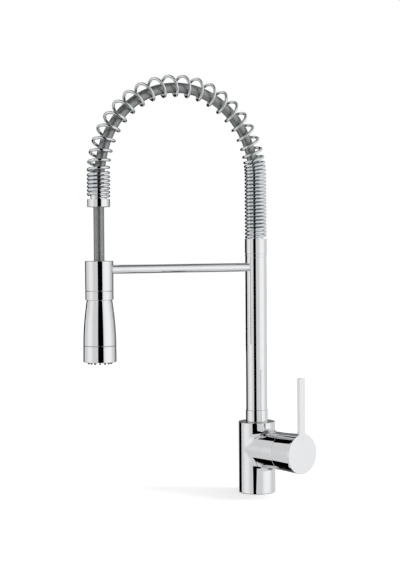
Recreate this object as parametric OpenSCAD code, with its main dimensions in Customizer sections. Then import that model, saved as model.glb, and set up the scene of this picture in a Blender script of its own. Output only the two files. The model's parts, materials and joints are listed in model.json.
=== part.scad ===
// Pre-rinse faucet with a side lever, a turning column, a spring arch and a pull-down spray head.
// Origin: centre of the base's underside. +Z runs up the column and the spout side points along -X.

/* [Base] */
// Diameter of the base body
base_d = 48; // [46:0.5:54]
// Height of the base body above the worktop
base_h = 92.2; // [90:0.2:104]
// Rounding of the base body's outer edges
base_edge = 0.8; // [0.4:0.1:1.5]
// Diameter of the side branch that carries the lever
branch_d = 48; // [46:0.5:50]
// Height of the branch's axis above the worktop
branch_z = 57.9; // [54:0.1:60]
// Direction of the branch round the column, 0 being opposite the spout
branch_turn = -78.2; // [-95:0.1:-60]
// Distance from the column's axis to the seam between branch and handle
seam_l = 51.5; // [51:0.1:54]

/* [Deck fixing] */
// Diameter of the fixing stud
stud_d = 8; // [6:0.5:8]
// Length of the stud below the worktop's upper face
stud_drop = 62; // [56:1:90]
// Distance of the stud from the column's axis
stud_offset = 11; // [10:0.5:12]
// Thickness of worktop between the base and the horseshoe gasket
worktop_t = 30; // [15:1:38]
// Outer diameter of the horseshoe gasket and plate
horseshoe_d = 54; // [48:1:60]
// Thickness of the rubber horseshoe gasket
horseshoe_gasket_t = 3; // [2:0.5:4]
// Thickness of the steel horseshoe plate
horseshoe_plate_t = 2.5; // [1.5:0.5:4]
// Height of the fixing nut
nut_h = 11.5; // [8:0.5:14]
// Thread diameter of each inlet
inlet_d = 10; // [8:0.5:10]
// Depth of each inlet's thread
inlet_depth = 12; // [8:0.5:16]
// Distance of each inlet from the line through the stud
inlet_half_gap = 7; // [6.5:0.1:7.5]

/* [Column] */
// Outer diameter of the column tube
tube_d = 27.7; // [26.5:0.1:28.2]
// Wall of the column tube
tube_wall = 1.2; // [1:0.1:1.4]
// Length of the column tube between its collar and its band
tube_len = 199.1; // [150:0.1:260]
// Outer diameter of the collar at the foot of the column
collar_d = 28.8; // [28.4:0.1:30]
// Height of that collar
collar_h = 14.8; // [10:0.1:20]
// Diameter of the spigot that turns in the base
spigot_d = 22; // [20:0.2:22.4]
// Depth of the spigot in the base
spigot_depth = 21.7; // [21:0.1:24]
// Thickness of the swivel bush in the base's mouth
bush_t = 3; // [2:0.1:4]
// Height of the thin band at the top of the column
band_h = 4.5; // [3:0.1:8]
// Height of the ferrule that the spring stands on
ferrule_h = 19.3; // [16:0.1:26]
// Outer diameter of that ferrule
ferrule_d = 28.4; // [28:0.1:30]

/* [Arm and holder] */
// Distance from the column's axis to the spray head's axis
reach = 225.1; // [190:0.1:260]
// Diameter of the arm
arm_d = 10.9; // [9:0.1:14]
// Distance of the arm's axis below the top of the column tube
arm_drop = 12.9; // [10:0.1:16]
// Outer diameter of the spray holder
holder_d = 34.4; // [34:0.1:38]
// Height of the holder's top above the arm's axis
holder_rise = 10.5; // [8:0.1:14]
// Overall height of the holder
holder_h = 36.3; // [34:0.1:44]

/* [Spring and hose] */
// Diameter of the spring's wire
wire_d = 3.7; // [3:0.1:3.9]
// Outer diameter of the spring
spring_d = 28.5; // [28:0.1:29.5]
// Height from the ferrule to the arch's centre
column_leg = 79.8; // [60:0.1:100]
// Length of close turns on the column side
close_len = 96.5; // [60:0.5:110]
// Length of close turns on the spray side
close_end = 29; // [18:1:34]
// Pitch of the close turns
close_pitch = 4.66; // [4.4:0.02:5]
// Pitch of the open turns over the crown
open_pitch = 18.7; // [14:0.1:24]
// Length over which the turns open on the column side
open_ramp = 26; // [15:1:40]
// Length over which the turns close on the spray side
close_ramp = 33; // [20:1:50]
// Direction in which the wire starts at the ferrule, 0 being away from the spray head
coil_phase = 137; // [0:1:359]
// Outer diameter of the hose
hose_d = 13; // [12:0.1:13.4]
// How far the hose lies towards the inside of the arch
hose_shift = 2.5; // [0:0.1:3]
// Height of the collar at the spring's lower end
end_collar_h = 9.5; // [8:0.1:14]
// How far the spray head pulls down
pull_travel = 65; // [50:1:90]

/* [Spray head] */
// Height of the ring under the holder
ring_h = 11; // [9:0.1:14]
// Diameter of the spray shell at its top
shell_top_d = 31; // [30:0.1:33]
// Diameter of the spray shell at the seam
shell_low_d = 40.2; // [40:0.1:44]
// Length of the spray shell
shell_h = 55.8; // [54:0.1:70]
// Wall of the spray shell
shell_wall = 2.2; // [1.6:0.1:2.4]
// Height of the turning spray ring
spray_ring_h = 19.8; // [19:0.1:26]
// Diameter of the spray ring at its lower edge
spray_ring_d = 40.7; // [40.2:0.1:46]
// How far the rubber nozzles stand out of the ring
nozzle_out = 2.6; // [1:0.1:4]
// Diameter of one rubber nozzle
nozzle_d = 2.4; // [1.4:0.1:2.6]

/* [Lever] */
// Distance from the column's axis to the front face of the lever's disc
disc_l = 83.15; // [80:0.05:90]
// Diameter of the lever's disc
disc_d = 50.8; // [48:0.1:54]
// Thickness of the lever's blade
blade_t = 5; // [4:0.1:6]
// Width of the lever's blade
blade_w = 10; // [8:0.1:14]
// Height of the blade's tip above the branch's axis
blade_h = 96.2; // [70:0.1:120]
// Radius where the blade runs into the disc
blade_fillet = 6; // [3:0.1:10]
// Distance from the seam back to the pivot of the lever
pivot_back = 15.5; // [15:0.1:16.5]
// Largest tilt of the lever
lever_tilt = 20; // [16:1:20]
// Diameter of the stem that carries the handle
stem_d = 8; // [7:0.1:8]

/* [Clearances] */
// Radial clearance of a turning fit
run_fit = 0.06; // [0.03:0.01:0.1]
// Clearance between pieces of one assembly
seat_fit = 0.05; // [0.02:0.01:0.08]
// Gap at a seam between pieces that move past each other
seam_gap = 0.3; // [0.2:0.05:0.4]

/* [Hidden] */

$fn = 96;
over = 1;                       // how far a cutting shape runs past what it cuts
fine_edge = 0.4;                // edge break on turned pieces

// Heights up the column.
z_collar = base_h + seam_gap;
z_tube = z_collar + collar_h;
z_band = z_tube + tube_len;
z_ferrule = z_band + band_h;
z_spring = z_ferrule + ferrule_h;
z_arch = z_spring + column_leg;
arm_z = z_band - arm_drop;

// Base: spigot socket, swivel bush and water ways.
socket_r = spigot_d / 2 + run_fit;
socket_floor = base_h - spigot_depth - 8;
bush_h = 4;
bush_r = socket_r + bush_t;
groove_z = base_h - 9.2;        // lower edge of the groove that the swivel screw runs in
groove_h = 4;
groove_deep = 1.7;
swivel_screw_d = 4;
swivel_dog_d = 2.8;
gasket_r = [19.5, 22.5];
gasket_h = 2;
stud_in = 14;
nut_wall = 7;                   // the fixing nut's size across corners over the stud
inlet_back = 5;
way_d = 5.6;                    // drilled water ways
port_low = [inlet_half_gap, -6];
port_high = [0, 9];

// Cartridge and lever, measured along the branch from the column's axis.
pivot_l = seam_l - pivot_back;
lip_t = 0.4;                    // wall of the handle's lip at the seam
ball_gap = 0.25;
cap_ball_r = norm([branch_d / 2 - lip_t, pivot_back]);
rim_ball_r = cap_ball_r - ball_gap;
seat_l = 14;                    // floor of the cartridge's bore
cartridge_r = 17.4;
cartridge_wall = 2;
cart_base_t = 3;
disc_t = 2.5;
fixed_disc_r = 14.5;
moving_disc_r = 10;
l_fixed = seat_l + cart_base_t;
l_moving = l_fixed + disc_t;
l_disc_carrier = l_moving + disc_t;
disc_carrier_t = 5;
l_carrier = l_disc_carrier + disc_carrier_t + 0.2;
l_shoulder = pivot_l + 2;
l_housing = l_shoulder + 3;
neck_r = 9.5;
housing_neck_r = 11.8;
neck_len = 4.5;
nut_t = 5;
nut_r = 19.3;
nut_hole_r = housing_neck_r + 0.5;
l_dome = l_housing + nut_t;
dome_r = 20.1;
dome_wall = 2;
dome_hole_r = rim_ball_r * sin(lever_tilt) + stem_d / 2 + 0.9;
carrier_pin_d = 2.9;
foot_arm = 11.2;                // from the pivot to the middle of the stem's foot
foot_r = 2.4;
foot_play = 0.4;
carrier_front = 7;              // from the pivot to the front of the stem's carrier
slot_half = stem_d / 2 / cos(lever_tilt) + carrier_front * tan(lever_tilt) + 0.4;
boss_r = 8;
boss_in = 13;                   // from the seam to the inner end of the handle's boss
boss_l = seam_l + boss_in;
stem_cover = 4;                 // metal left over the stem's end
stem_end_l = disc_l - blade_t - stem_cover;
stem_flat = stem_d * 0.4;       // from the stem's axis to each of its two flats
grub_back = 13;
grub_l = disc_l - grub_back;
grub_d = 5;
grub_h = 4;
key_d = 2.9;                    // hexagon sockets of the grub screw and the face screw

// Column head, ferrule and upper end of the hose.
tube_r = tube_d / 2;
plug_r = tube_r - tube_wall - seat_fit;
plug_h = 17.5;                  // how far the spigot reaches up inside the tube
head_below = 28;
head_neck_r = 10.5;
head_neck_h = 13.3;
head_bore_r = 5;
arm_pin_r = 3.5;
arm_pin_in = 5.8;
spring_spigot_r = spring_d / 2 - wire_d - 0.7;
spring_spigot_h = 14.8;
sleeve_r = hose_d / 2 + 1.1;
sleeve_bore_r = hose_d / 2 + seat_fit;
sleeve_h = 13;
hose_flange_t = 3.6;
hose_bore_r = 3;
z_neck = z_ferrule + head_neck_h;    // top of the column head's neck
z_hose = z_neck + hose_flange_t;

// Holder and the docked spray head, measured down from the holder.
z_holder_top = arm_z + holder_rise;
z_holder = z_holder_top - holder_h;
dock_r = 11.7;
dock_h = 17;
bush_wall = 2.6;
bush_len = 14;
hose_way_r = hose_d / 2 + 0.4;
stop_gap = 0.7;
z_end_collar = z_holder_top + pull_travel + stop_gap;
z_spring_end = z_end_collar + end_collar_h;
z_ring = z_holder - seam_gap;
z_shell = z_ring - ring_h + seam_gap;
z_seam = z_shell - shell_h;
z_face = z_seam - spray_ring_h - seam_gap;
dock_bore_r = 9.8;
shell_neck_h = 8.7;
shell_neck_r = 12.6;
z_nut = z_shell + 3.9;
nut_flange_t = 3.5;
z_hose_end = z_nut + 6.9;

// Parts inside the spray ring.
ring_bore_r = 17.8;
face_lip_r = 16.6;
face_lip_h = 1.2;
plate_t = 4;
mat_t = 2;
mat_r = 16.5;
hub_r = 8;
face_bolt_d = 3.5;
face_head_r = 4;
face_head_t = 2;
face_seal_r = 1;
flow_plate_in = 9;              // depth of the flow plate below the seam
nozzle_rows = [[14.2, 15], [10.6, 10], [7, 5]];   // radius and count of each ring of nozzles
nozzle_line = -115;             // direction in which the rings' nozzles stand in line

function arc(centre, r, from, to, n = 6) =
    [for (i = [0:n]) centre + r * [cos(from + (to - from) * i / n), sin(from + (to - from) * i / n)]];
function smooth(x) = let (t = min(max(x, 0), 1)) t * t * (3 - 2 * t);

module turned(profile) { rotate_extrude() polygon(profile); }

// A ring with its outer edges broken by `edge`.
module ring(r_out, r_in, z0, z1, edge = fine_edge) {
    turned([[r_in, z0], [r_out - edge, z0], [r_out, z0 + edge], [r_out, z1 - edge], [r_out - edge, z1],
        [r_in, z1]]);
}

// Places its children at distance l along the branch: their Z points outwards and their Y up.
module on_branch(l = 0) {
    translate([0, 0, branch_z]) rotate([90, 0, branch_turn + 90]) translate([0, 0, l]) children();
}

// Turns the plan so that X points along the branch.
module beside_branch() { rotate([0, 0, branch_turn]) children(); }

module at_spray() { translate([-reach, 0, 0]) children(); }

// ---- Base and deck fixing ----

module base_body() {
    color("gainsboro") difference() {
        union() {
            turned(concat([[0, 0]], arc([base_d / 2 - base_edge, base_edge], base_edge, -90, 0, 4),
                arc([base_d / 2 - base_edge, base_h - base_edge], base_edge, 0, 90, 4), [[0, base_h]]));
            intersection() {
                on_branch() cylinder(d = branch_d, h = seam_l - 0.2);
                union() {
                    on_branch() cylinder(d = branch_d + 2 * over, h = pivot_l);
                    on_branch(pivot_l) sphere(r = rim_ball_r);
                }
            }
        }
        base_cuts();
        cartridge_cuts();
    }
}

module base_cuts() {
    translate([0, 0, socket_floor]) cylinder(r = socket_r, h = base_h);
    translate([0, 0, base_h - bush_h]) cylinder(r = bush_r + seat_fit, h = bush_h + over);
    translate([0, 0, -over]) difference() {
        cylinder(r = gasket_r[1], h = gasket_h + over);
        translate([0, 0, -over]) cylinder(r = gasket_r[0], h = gasket_h + 3 * over);
    }
    translate([0, 0, groove_z + groove_h / 2]) rotate([0, 90, 0]) cylinder(d = swivel_screw_d, h = base_d);
    beside_branch() {
        translate([stud_offset, 0, -over]) cylinder(r = stud_d / 2 + seat_fit, h = stud_in + over);
        for (side = [-1, 1]) translate([-inlet_back, side * inlet_half_gap, -over]) {
            cylinder(d = inlet_d, h = inlet_depth + over);
            cylinder(d = way_d, h = branch_z + port_low[1] + over);
        }
    }
}

module cartridge_cuts() {
    on_branch(seat_l) cylinder(r = cartridge_r + seat_fit, h = seam_l);
    on_branch(l_housing) cylinder(r = nut_r + seat_fit, h = seam_l);
    on_branch(l_dome) cylinder(r = dome_r + seat_fit, h = seam_l);
    for (side = [-1, 1]) on_branch(-inlet_back) translate([side * port_low[0], port_low[1], 0])
        cylinder(d = way_d, h = seat_l + inlet_back + over);
    on_branch() translate([port_high[0], port_high[1], 0]) cylinder(d = way_d, h = seat_l + over);
}

module base_gasket() {
    color("#262626") difference() {
        cylinder(r = gasket_r[1] - seat_fit, h = gasket_h - seat_fit);
        translate([0, 0, -over]) cylinder(r = gasket_r[0] + seat_fit, h = gasket_h + 2 * over);
    }
}

module fixing_stud() {
    color("silver") beside_branch() translate([stud_offset, 0, -stud_drop])
        cylinder(d = stud_d, h = stud_drop + stud_in - seat_fit);
}

// Outline that slides round the hoses: a disc with a slot open away from the stud.
module horseshoe(t) {
    slot = 2 * inlet_half_gap + inlet_d + 2;
    slot_end = inlet_d / 2 + 1 - inlet_back;
    beside_branch() linear_extrude(t) difference() {
        circle(d = horseshoe_d);
        translate([slot_end - horseshoe_d, -slot / 2]) square([horseshoe_d, slot]);
        translate([stud_offset, 0]) circle(r = stud_d / 2 + 0.4);
    }
}

module horseshoe_gasket() {
    color("#262626") translate([0, 0, -worktop_t - horseshoe_gasket_t]) horseshoe(horseshoe_gasket_t);
}

module horseshoe_plate() {
    color("darkgray") translate([0, 0, -worktop_t - horseshoe_gasket_t - horseshoe_plate_t])
        horseshoe(horseshoe_plate_t);
}

module fixing_nut() {
    color("goldenrod") beside_branch()
        translate([stud_offset, 0, -worktop_t - horseshoe_gasket_t - horseshoe_plate_t - nut_h])
        difference() {
            cylinder(d = stud_d + nut_wall, h = nut_h, $fn = 6);
            translate([0, 0, -over]) cylinder(r = stud_d / 2 + seat_fit, h = nut_h + 2 * over);
        }
}

module swivel_bush() {
    color("whitesmoke") ring(bush_r, socket_r, base_h - bush_h + seat_fit, z_collar - 0.1, 0.2);
}

module swivel_screw() {
    color("dimgray") translate([0, 0, groove_z + groove_h / 2]) rotate([0, 90, 0]) {
        translate([0, 0, socket_r + 1])
            difference() {
                cylinder(r = swivel_screw_d / 2 - seat_fit, h = base_d / 2 - socket_r - 2);
                translate([0, 0, base_d / 2 - socket_r - 4]) cylinder(d = 2.3, h = 3, $fn = 6);
            }
        translate([0, 0, spigot_d / 2 - groove_deep + 0.4])
            cylinder(d = swivel_dog_d, h = 2 + groove_deep);
    }
}

// ---- Mixing cartridge, built up along the branch ----

module port_holes(h) {
    for (port = [port_low, [-port_low[0], port_low[1]], port_high])
        translate([port[0], port[1], -over]) cylinder(d = way_d, h = h + 2 * over);
}

seal_r = [way_d / 2 + 0.2, way_d / 2 + 1.8];
seal_t = 1.2;

module cartridge_base() {
    color("ivory") on_branch(seat_l + seat_fit) difference() {
        cylinder(r = cartridge_r, h = cart_base_t - seat_fit);
        port_holes(cart_base_t);
        for (port = [port_low, [-port_low[0], port_low[1]], port_high])
            translate([port[0], port[1], -over]) cylinder(r = seal_r[1] + seat_fit, h = seal_t + over);
    }
}

module cartridge_seals() {
    color("#303030") for (port = [port_low, [-port_low[0], port_low[1]], port_high])
        on_branch(seat_l) translate([port[0], port[1], 0]) difference() {
            cylinder(r = seal_r[1], h = seal_t);
            translate([0, 0, -over]) cylinder(r = seal_r[0], h = seal_t + 2 * over);
        }
}

module ceramic_disc_fixed() {
    color("white") on_branch(l_fixed) difference() {
        cylinder(r = fixed_disc_r, h = disc_t);
        port_holes(disc_t);
    }
}

module cartridge_housing() {
    bore_r = cartridge_r - cartridge_wall;
    color("gray") on_branch() turned([[bore_r, l_fixed], [cartridge_r, l_fixed], [cartridge_r, l_housing],
        [housing_neck_r, l_housing], [housing_neck_r, l_housing + neck_len], [neck_r, l_housing + neck_len],
        [neck_r, l_shoulder], [bore_r, l_shoulder]]);
}

module cartridge_nut() {
    color("goldenrod") on_branch() difference() {
        ring(nut_r, nut_hole_r, l_housing + seat_fit, l_dome);
        for (turn = [0:60:300]) rotate(turn) translate([nut_r - 3, 0, l_dome - 2]) cylinder(d = 3, h = 3);
    }
}

module dome_ring() {
    dome_ball_r = rim_ball_r;
    inner_ball_r = dome_ball_r - dome_wall;
    from = asin(dome_r / dome_ball_r);
    to = asin(dome_hole_r / dome_ball_r);
    inner_to = asin(dome_hole_r / inner_ball_r);
    inner_from = asin((dome_r - dome_wall) / inner_ball_r);
    color("gainsboro") on_branch() turned(concat([[dome_r, l_dome + seat_fit]],
        [for (i = [0:6]) let (a = from + (to - from) * i / 6)
            [0, pivot_l] + dome_ball_r * [sin(a), cos(a)]],
        [for (i = [0:6]) let (a = inner_to + (inner_from - inner_to) * i / 6)
            [0, pivot_l] + inner_ball_r * [sin(a), cos(a)]],
        [[dome_r - dome_wall, l_dome + seat_fit]]));
}

module ceramic_disc_moving() {
    color("aliceblue") on_branch(l_moving) difference() {
        cylinder(r = moving_disc_r, h = disc_t);
        translate([0, 0, -over]) linear_extrude(1.2 + over) square([9, 4], center = true);
    }
}

module disc_carrier() {
    color("ivory") on_branch(l_disc_carrier) difference() {
        cylinder(r = moving_disc_r, h = disc_carrier_t);
        translate([0, 0, 0.3]) cylinder(r = foot_r + foot_play, h = disc_carrier_t);
        translate([0, 0, disc_carrier_t - 1]) cylinder(r = foot_r + foot_play + 1.2, h = 1 + over);
    }
}

module stem_carrier() {
    color("dimgray") difference() {
        on_branch() turned([[0, l_carrier], [cartridge_r - cartridge_wall - 0.4, l_carrier],
            [cartridge_r - cartridge_wall - 0.4, l_shoulder - 0.2], [neck_r - run_fit, l_shoulder - 0.2],
            [neck_r - run_fit, pivot_l + carrier_front], [0, pivot_l + carrier_front]]);
        on_branch(l_carrier - over) translate([-stem_d / 2 - 0.15, -slot_half, 0])
            cube([stem_d + 0.3, 2 * slot_half, seam_l]);
        on_branch(pivot_l) rotate([0, 90, 0])
            cylinder(r = carrier_pin_d / 2 + 0.02, h = 2 * cartridge_r, center = true);
    }
}

module carrier_pin() {
    color("silver") on_branch(pivot_l) rotate([0, 90, 0])
        cylinder(d = carrier_pin_d, h = 2 * (cartridge_r - cartridge_wall - 1.2), center = true);
}

// The stem's upper end, round with two flats, or with a gap the bore that it sits in.
module flatted_stem(l0, l1, gap = 0) {
    r = stem_d / 2 + gap;
    translate([0, 0, l0]) intersection() {
        cylinder(r = r, h = l1 - l0);
        translate([-r - over, -stem_flat - gap, -over])
            cube([2 * (r + over), 2 * (stem_flat + gap), l1 - l0 + 2 * over]);
    }
}

module lever_stem() {
    color("silver") difference() {
        on_branch() union() {
            translate([0, 0, pivot_l]) cylinder(d = stem_d, h = boss_l - pivot_l);
            flatted_stem(boss_l, stem_end_l);
            translate([0, 0, pivot_l]) rotate([0, 90, 0]) cylinder(d = stem_d, h = stem_d, center = true);
            translate([0, 0, pivot_l - foot_arm]) cylinder(r = 1.9, h = foot_arm);
            translate([0, 0, pivot_l - foot_arm]) sphere(r = foot_r);
        }
        on_branch(pivot_l) rotate([0, 90, 0])
            cylinder(r = carrier_pin_d / 2 + run_fit, h = 2 * stem_d, center = true);
    }
}

// ---- Handle: cap, disc and blade in one casting ----

module blade_outline() {
    r = disc_d / 2;
    side = blade_w / 2 + blade_fillet;
    rise = sqrt(pow(r + blade_fillet, 2) - side * side);
    circle(d = disc_d);
    difference() {
        translate([-blade_w / 2, 0]) square([blade_w, blade_h]);
        for (s = [-1, 1]) translate([s * blade_w / 2, blade_h]) rotate(45) square(1.4, center = true);
    }
    difference() {
        polygon([[0, 0], [side, rise], [-side, rise]]);
        for (s = [-1, 1]) translate([s * side, rise]) circle(r = blade_fillet);
    }
}

module handle() {
    color("gainsboro") difference() {
        union() {
            on_branch(seam_l) cylinder(d1 = branch_d, d2 = disc_d - 0.4, h = disc_l - blade_t / 2 - seam_l);
            on_branch(disc_l - blade_t) linear_extrude(blade_t) blade_outline();
        }
        on_branch(pivot_l) sphere(r = cap_ball_r);
        difference() {
            on_branch(boss_l - 2) cylinder(r = disc_d / 2 - 5, h = disc_l - blade_t - boss_l + 2);
            on_branch() cylinder(r = boss_r, h = disc_l);
        }
        on_branch(0) cylinder(r = boss_r + over, h = boss_l);
        on_branch() flatted_stem(boss_l - over, stem_end_l + 0.5, seat_fit);
        on_branch(grub_l) rotate([90, 0, 0]) cylinder(r = grub_d / 2, h = disc_d);
    }
}

module handle_screw() {
    color("dimgray") on_branch(grub_l) rotate([90, 0, 0]) difference() {
        translate([0, 0, stem_flat + 2 * seat_fit]) cylinder(r = grub_d / 2 - seat_fit, h = grub_h);
        translate([0, 0, stem_flat + grub_h - 1.5]) cylinder(d = key_d, h = 3, $fn = 6);
    }
}

// ---- Column ----

oring_r = 1.2;
oring_low = 4;
oring_step = 4.5;
oring_z = [for (i = [0, 1]) base_h - spigot_depth + oring_low + i * oring_step];

module column_spigot() {
    r = spigot_d / 2;
    low = base_h - spigot_depth;
    groove = 1.3;
    deep = r - 2.4;
    bore = r - 4;
    color("goldenrod") turned(concat([[bore, low], [r - 0.5, low], [r, low + 0.5]],
        [for (z = oring_z) each [[r, z - groove], [deep, z - groove], [deep, z + groove], [r, z + groove]]],
        [[r, groove_z], [r - groove_deep, groove_z], [r - groove_deep, groove_z + groove_h],
        [r, groove_z + groove_h], [r, z_collar], [plug_r, z_collar], [plug_r, z_tube + plug_h - 1],
        [plug_r - 1, z_tube + plug_h], [bore, z_tube + plug_h]]));
}

module spigot_orings() {
    color("#262626") for (z = oring_z)
        rotate_extrude() translate([socket_r - 0.03 - oring_r, z]) circle(r = oring_r, $fn = 24);
}

module column_collar() { color("gainsboro") ring(collar_d / 2, plug_r + seat_fit, z_collar, z_tube); }

module column_tube() {
    color("gainsboro") difference() {
        turned([[tube_r - tube_wall, z_tube], [tube_r - 0.3, z_tube], [tube_r, z_tube + 0.3],
            [tube_r, z_band - 0.3], [tube_r - 0.3, z_band], [tube_r - tube_wall, z_band]]);
        translate([0, 0, arm_z]) rotate([0, -90, 0]) cylinder(r = arm_pin_r + seat_fit, h = tube_d);
    }
}

module column_head() {
    color("goldenrod") difference() {
        turned([[head_bore_r, z_band - head_below], [plug_r, z_band - head_below], [plug_r, z_band],
            [head_neck_r, z_band], [head_neck_r, z_neck], [head_bore_r, z_neck]]);
        translate([-tube_r + arm_pin_in + 0.5, 0, arm_z]) rotate([0, -90, 0])
            cylinder(r = arm_pin_r + seat_fit, h = tube_d);
    }
}

// Thin band with a groove along each edge.
module column_band() {
    r = tube_r + 0.1;
    groove = 0.5;
    inner = head_neck_r + seat_fit;
    color("gainsboro") turned([[inner, z_band], [r - groove, z_band], [r - groove, z_band + groove],
        [r, z_band + groove], [r, z_ferrule - groove], [r - groove, z_ferrule - groove],
        [r - groove, z_ferrule], [inner, z_ferrule]]);
}

module spring_ferrule() {
    r = ferrule_d / 2;
    inner = head_neck_r + seat_fit;
    z_step = z_neck + seat_fit;
    z_top = z_spring + spring_spigot_h;
    color("gainsboro") turned([[inner, z_ferrule], [r - fine_edge, z_ferrule], [r, z_ferrule + fine_edge],
        [r, z_spring - fine_edge], [r - fine_edge, z_spring], [spring_spigot_r, z_spring],
        [spring_spigot_r, z_top - 0.6], [spring_spigot_r - 0.6, z_top], [sleeve_r + 0.5, z_top],
        [sleeve_r + 0.5, z_step], [inner, z_step]]);
}

module hose_end_upper() {
    low = z_neck - 12;
    seat = z_neck + 0.1;
    plug = head_bore_r - seat_fit;
    color("silver") turned([[hose_bore_r, low], [plug, low], [plug, seat], [sleeve_r + 0.3, seat],
        [sleeve_r + 0.3, z_hose], [sleeve_r, z_hose + 0.4], [sleeve_r, z_hose + sleeve_h],
        [sleeve_bore_r, z_hose + sleeve_h], [sleeve_bore_r, z_hose], [hose_bore_r, z_hose]]);
}

// ---- Spring arch ----
// The arch's centre line runs up the column, over a half circle and down to the spray head. s is the
// length along it from the foot of the spring; each point has an outward normal and the shared +Y.

arch_r = reach / 2;
s_over = column_leg + PI * arch_r;
spray_leg = z_arch - z_spring_end;
s_end = s_over + spray_leg;
function arch_angle(s) = min(max((s - column_leg) / arch_r * 180 / PI, 0), 180);
function arch_normal(s) = [cos(arch_angle(s)), 0, sin(arch_angle(s))];
function arch_point(s) = [-arch_r, 0, z_arch] + arch_r * arch_normal(s)
    + [0, 0, min(s - column_leg, 0) - max(s - s_over, 0)];

wire_r = wire_d / 2;
coil_r = spring_d / 2 - wire_r;
coil_steps = 12;                // rings of the wire's skin to one turn
wire_sides = 8;
function open_share(s) = min(1 - exp(-max(s - close_len, 0) / open_ramp),
    1 - exp(-max(s_end - close_end - s, 0) / close_ramp));
function coil_pitch(s) = close_pitch + (open_pitch - close_pitch) * open_share(s);
// Foot positions of the wire's rings along the arch, each a twelfth of the pitch there from the last.
coil_s = [for (s = wire_r + 0.1; s <= s_end - wire_r - 0.1; s = s + coil_pitch(s) / coil_steps) s];
function coil_radial(i) = let (s = coil_s[i], turn = coil_phase + i * 360 / coil_steps)
    arch_normal(s) * cos(turn) + [0, 1, 0] * sin(turn);
function coil_centre(i) = arch_point(coil_s[i]) + coil_r * coil_radial(i);

// Skin round a list of ring centres, with two cross vectors for each ring.
module swept(centres, across, beside, r, sides) {
    n = len(centres);
    points = [for (i = [0:n - 1], k = [0:sides - 1])
        centres[i] + r * (across[i] * cos(k * 360 / sides) + beside[i] * sin(k * 360 / sides))];
    walls = [for (i = [0:n - 2], k = [0:sides - 1]) let (a = i * sides + k, b = i * sides + (k + 1) % sides)
        each [[a, a + sides, b], [b, a + sides, b + sides]]];
    polyhedron(points, concat(walls, [[for (k = [0:sides - 1]) k]],
        [[for (k = [sides - 1:-1:0]) (n - 1) * sides + k]]), convexity = 10);
}

module spring() {
    n = len(coil_s);
    centres = [for (i = [0:n - 1]) coil_centre(i)];
    across = [for (i = [0:n - 1]) coil_radial(i)];
    beside = [for (i = [0:n - 1]) let (ahead = centres[min(i + 1, n - 1)] - centres[max(i - 1, 0)],
        side = cross(ahead, across[i])) side / norm(side)];
    color("silver") swept(centres, across, beside, wire_r, wire_sides);
}

hose_step = 8;
s_hose = z_hose - z_spring;
s_hose_end = s_over + z_arch - z_hose_end;
hose_n = ceil((s_hose_end - s_hose) / hose_step);
function hose_lean(s) = hose_shift * smooth((s - spring_spigot_h - 1) / 45)
    * smooth((s_end - spring_spigot_h - s) / 40);

module hose() {
    s = [for (i = [0:hose_n]) s_hose + (s_hose_end - s_hose) * i / hose_n];
    color("gray") swept([for (t = s) arch_point(t) - arch_normal(t) * hose_lean(t)],
        [for (t = s) arch_normal(t)], [for (t = s) [0, -1, 0]], hose_d / 2, 12);
}

// ---- Arm and holder ----

module arm_rod() {
    holder_face = reach - holder_d / 2;
    color("gainsboro") translate([0, 0, arm_z]) difference() {
        rotate([0, -90, 0]) translate([0, 0, tube_r - 3]) cylinder(d = arm_d, h = holder_face - tube_r + 6);
        cylinder(r = tube_r + 0.03, h = 2 * arm_d, center = true);
        at_spray() cylinder(r = holder_d / 2 + 0.03, h = 2 * arm_d, center = true);
    }
    color("gainsboro") translate([0, 0, arm_z]) rotate([0, -90, 0])
        translate([0, 0, tube_r - arm_pin_in])
            cylinder(r = arm_pin_r, h = holder_face - tube_r + 2 * arm_pin_in);
}

module spray_holder() {
    r = holder_d / 2;
    bush_r_out = hose_way_r + bush_wall + seat_fit;
    z_dock = z_holder + dock_h + 1.5;
    color("gainsboro") difference() {
        at_spray() turned(concat(
            [[dock_r + 0.3, z_holder], [r - fine_edge, z_holder], [r, z_holder + fine_edge]],
            arc([r - base_edge, z_holder_top - base_edge], base_edge, 0, 90, 4),
            [[bush_r_out, z_holder_top], [bush_r_out, z_dock], [dock_r + 0.3, z_dock]]));
        translate([-reach + r - arm_pin_in - 0.5, 0, arm_z]) rotate([0, 90, 0])
            cylinder(r = arm_pin_r + seat_fit, h = reach / 2);
    }
}

module holder_bush() {
    color("#303030") at_spray()
        ring(hose_way_r + bush_wall, hose_way_r, z_holder_top - bush_len, z_holder_top - 0.5, 0.2);
}

// ---- Lower end of the hose ----

module spring_end_collar() {
    r = tube_r;
    bore = hose_d / 2 + seat_fit;
    color("gainsboro") at_spray() turned([[bore, z_end_collar], [r - fine_edge, z_end_collar],
        [r, z_end_collar + fine_edge], [r, z_spring_end - fine_edge], [r - fine_edge, z_spring_end],
        [spring_spigot_r, z_spring_end], [spring_spigot_r, z_spring_end + 11], [bore, z_spring_end + 11]]);
}

module hose_end_lower() {
    flange_r = sleeve_r + 0.8;
    low = z_hose_end - nut_flange_t;
    seat = z_hose_end - 0.02;
    top = z_hose_end + sleeve_h + 2;
    color("silver") at_spray() turned([[hose_bore_r, low], [flange_r, low], [flange_r, z_hose_end],
        [sleeve_r, z_hose_end], [sleeve_r, top], [sleeve_bore_r, top], [sleeve_bore_r, seat],
        [hose_bore_r, seat]]);
}

// ---- Spray head ----

module spray_collar() {
    r = holder_d / 2 - 0.05;
    foot = z_shell - shell_neck_h;
    top = z_ring + dock_h;
    neck = shell_neck_r - seat_fit;
    color("gainsboro") at_spray() turned([[dock_bore_r, foot], [neck, foot], [neck, z_shell],
        [r - fine_edge, z_shell], [r, z_shell + fine_edge], [r, z_ring - fine_edge], [r - fine_edge, z_ring],
        [dock_r, z_ring], [dock_r, top - 1], [dock_r - 1, top], [dock_bore_r, top]]);
}

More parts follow.
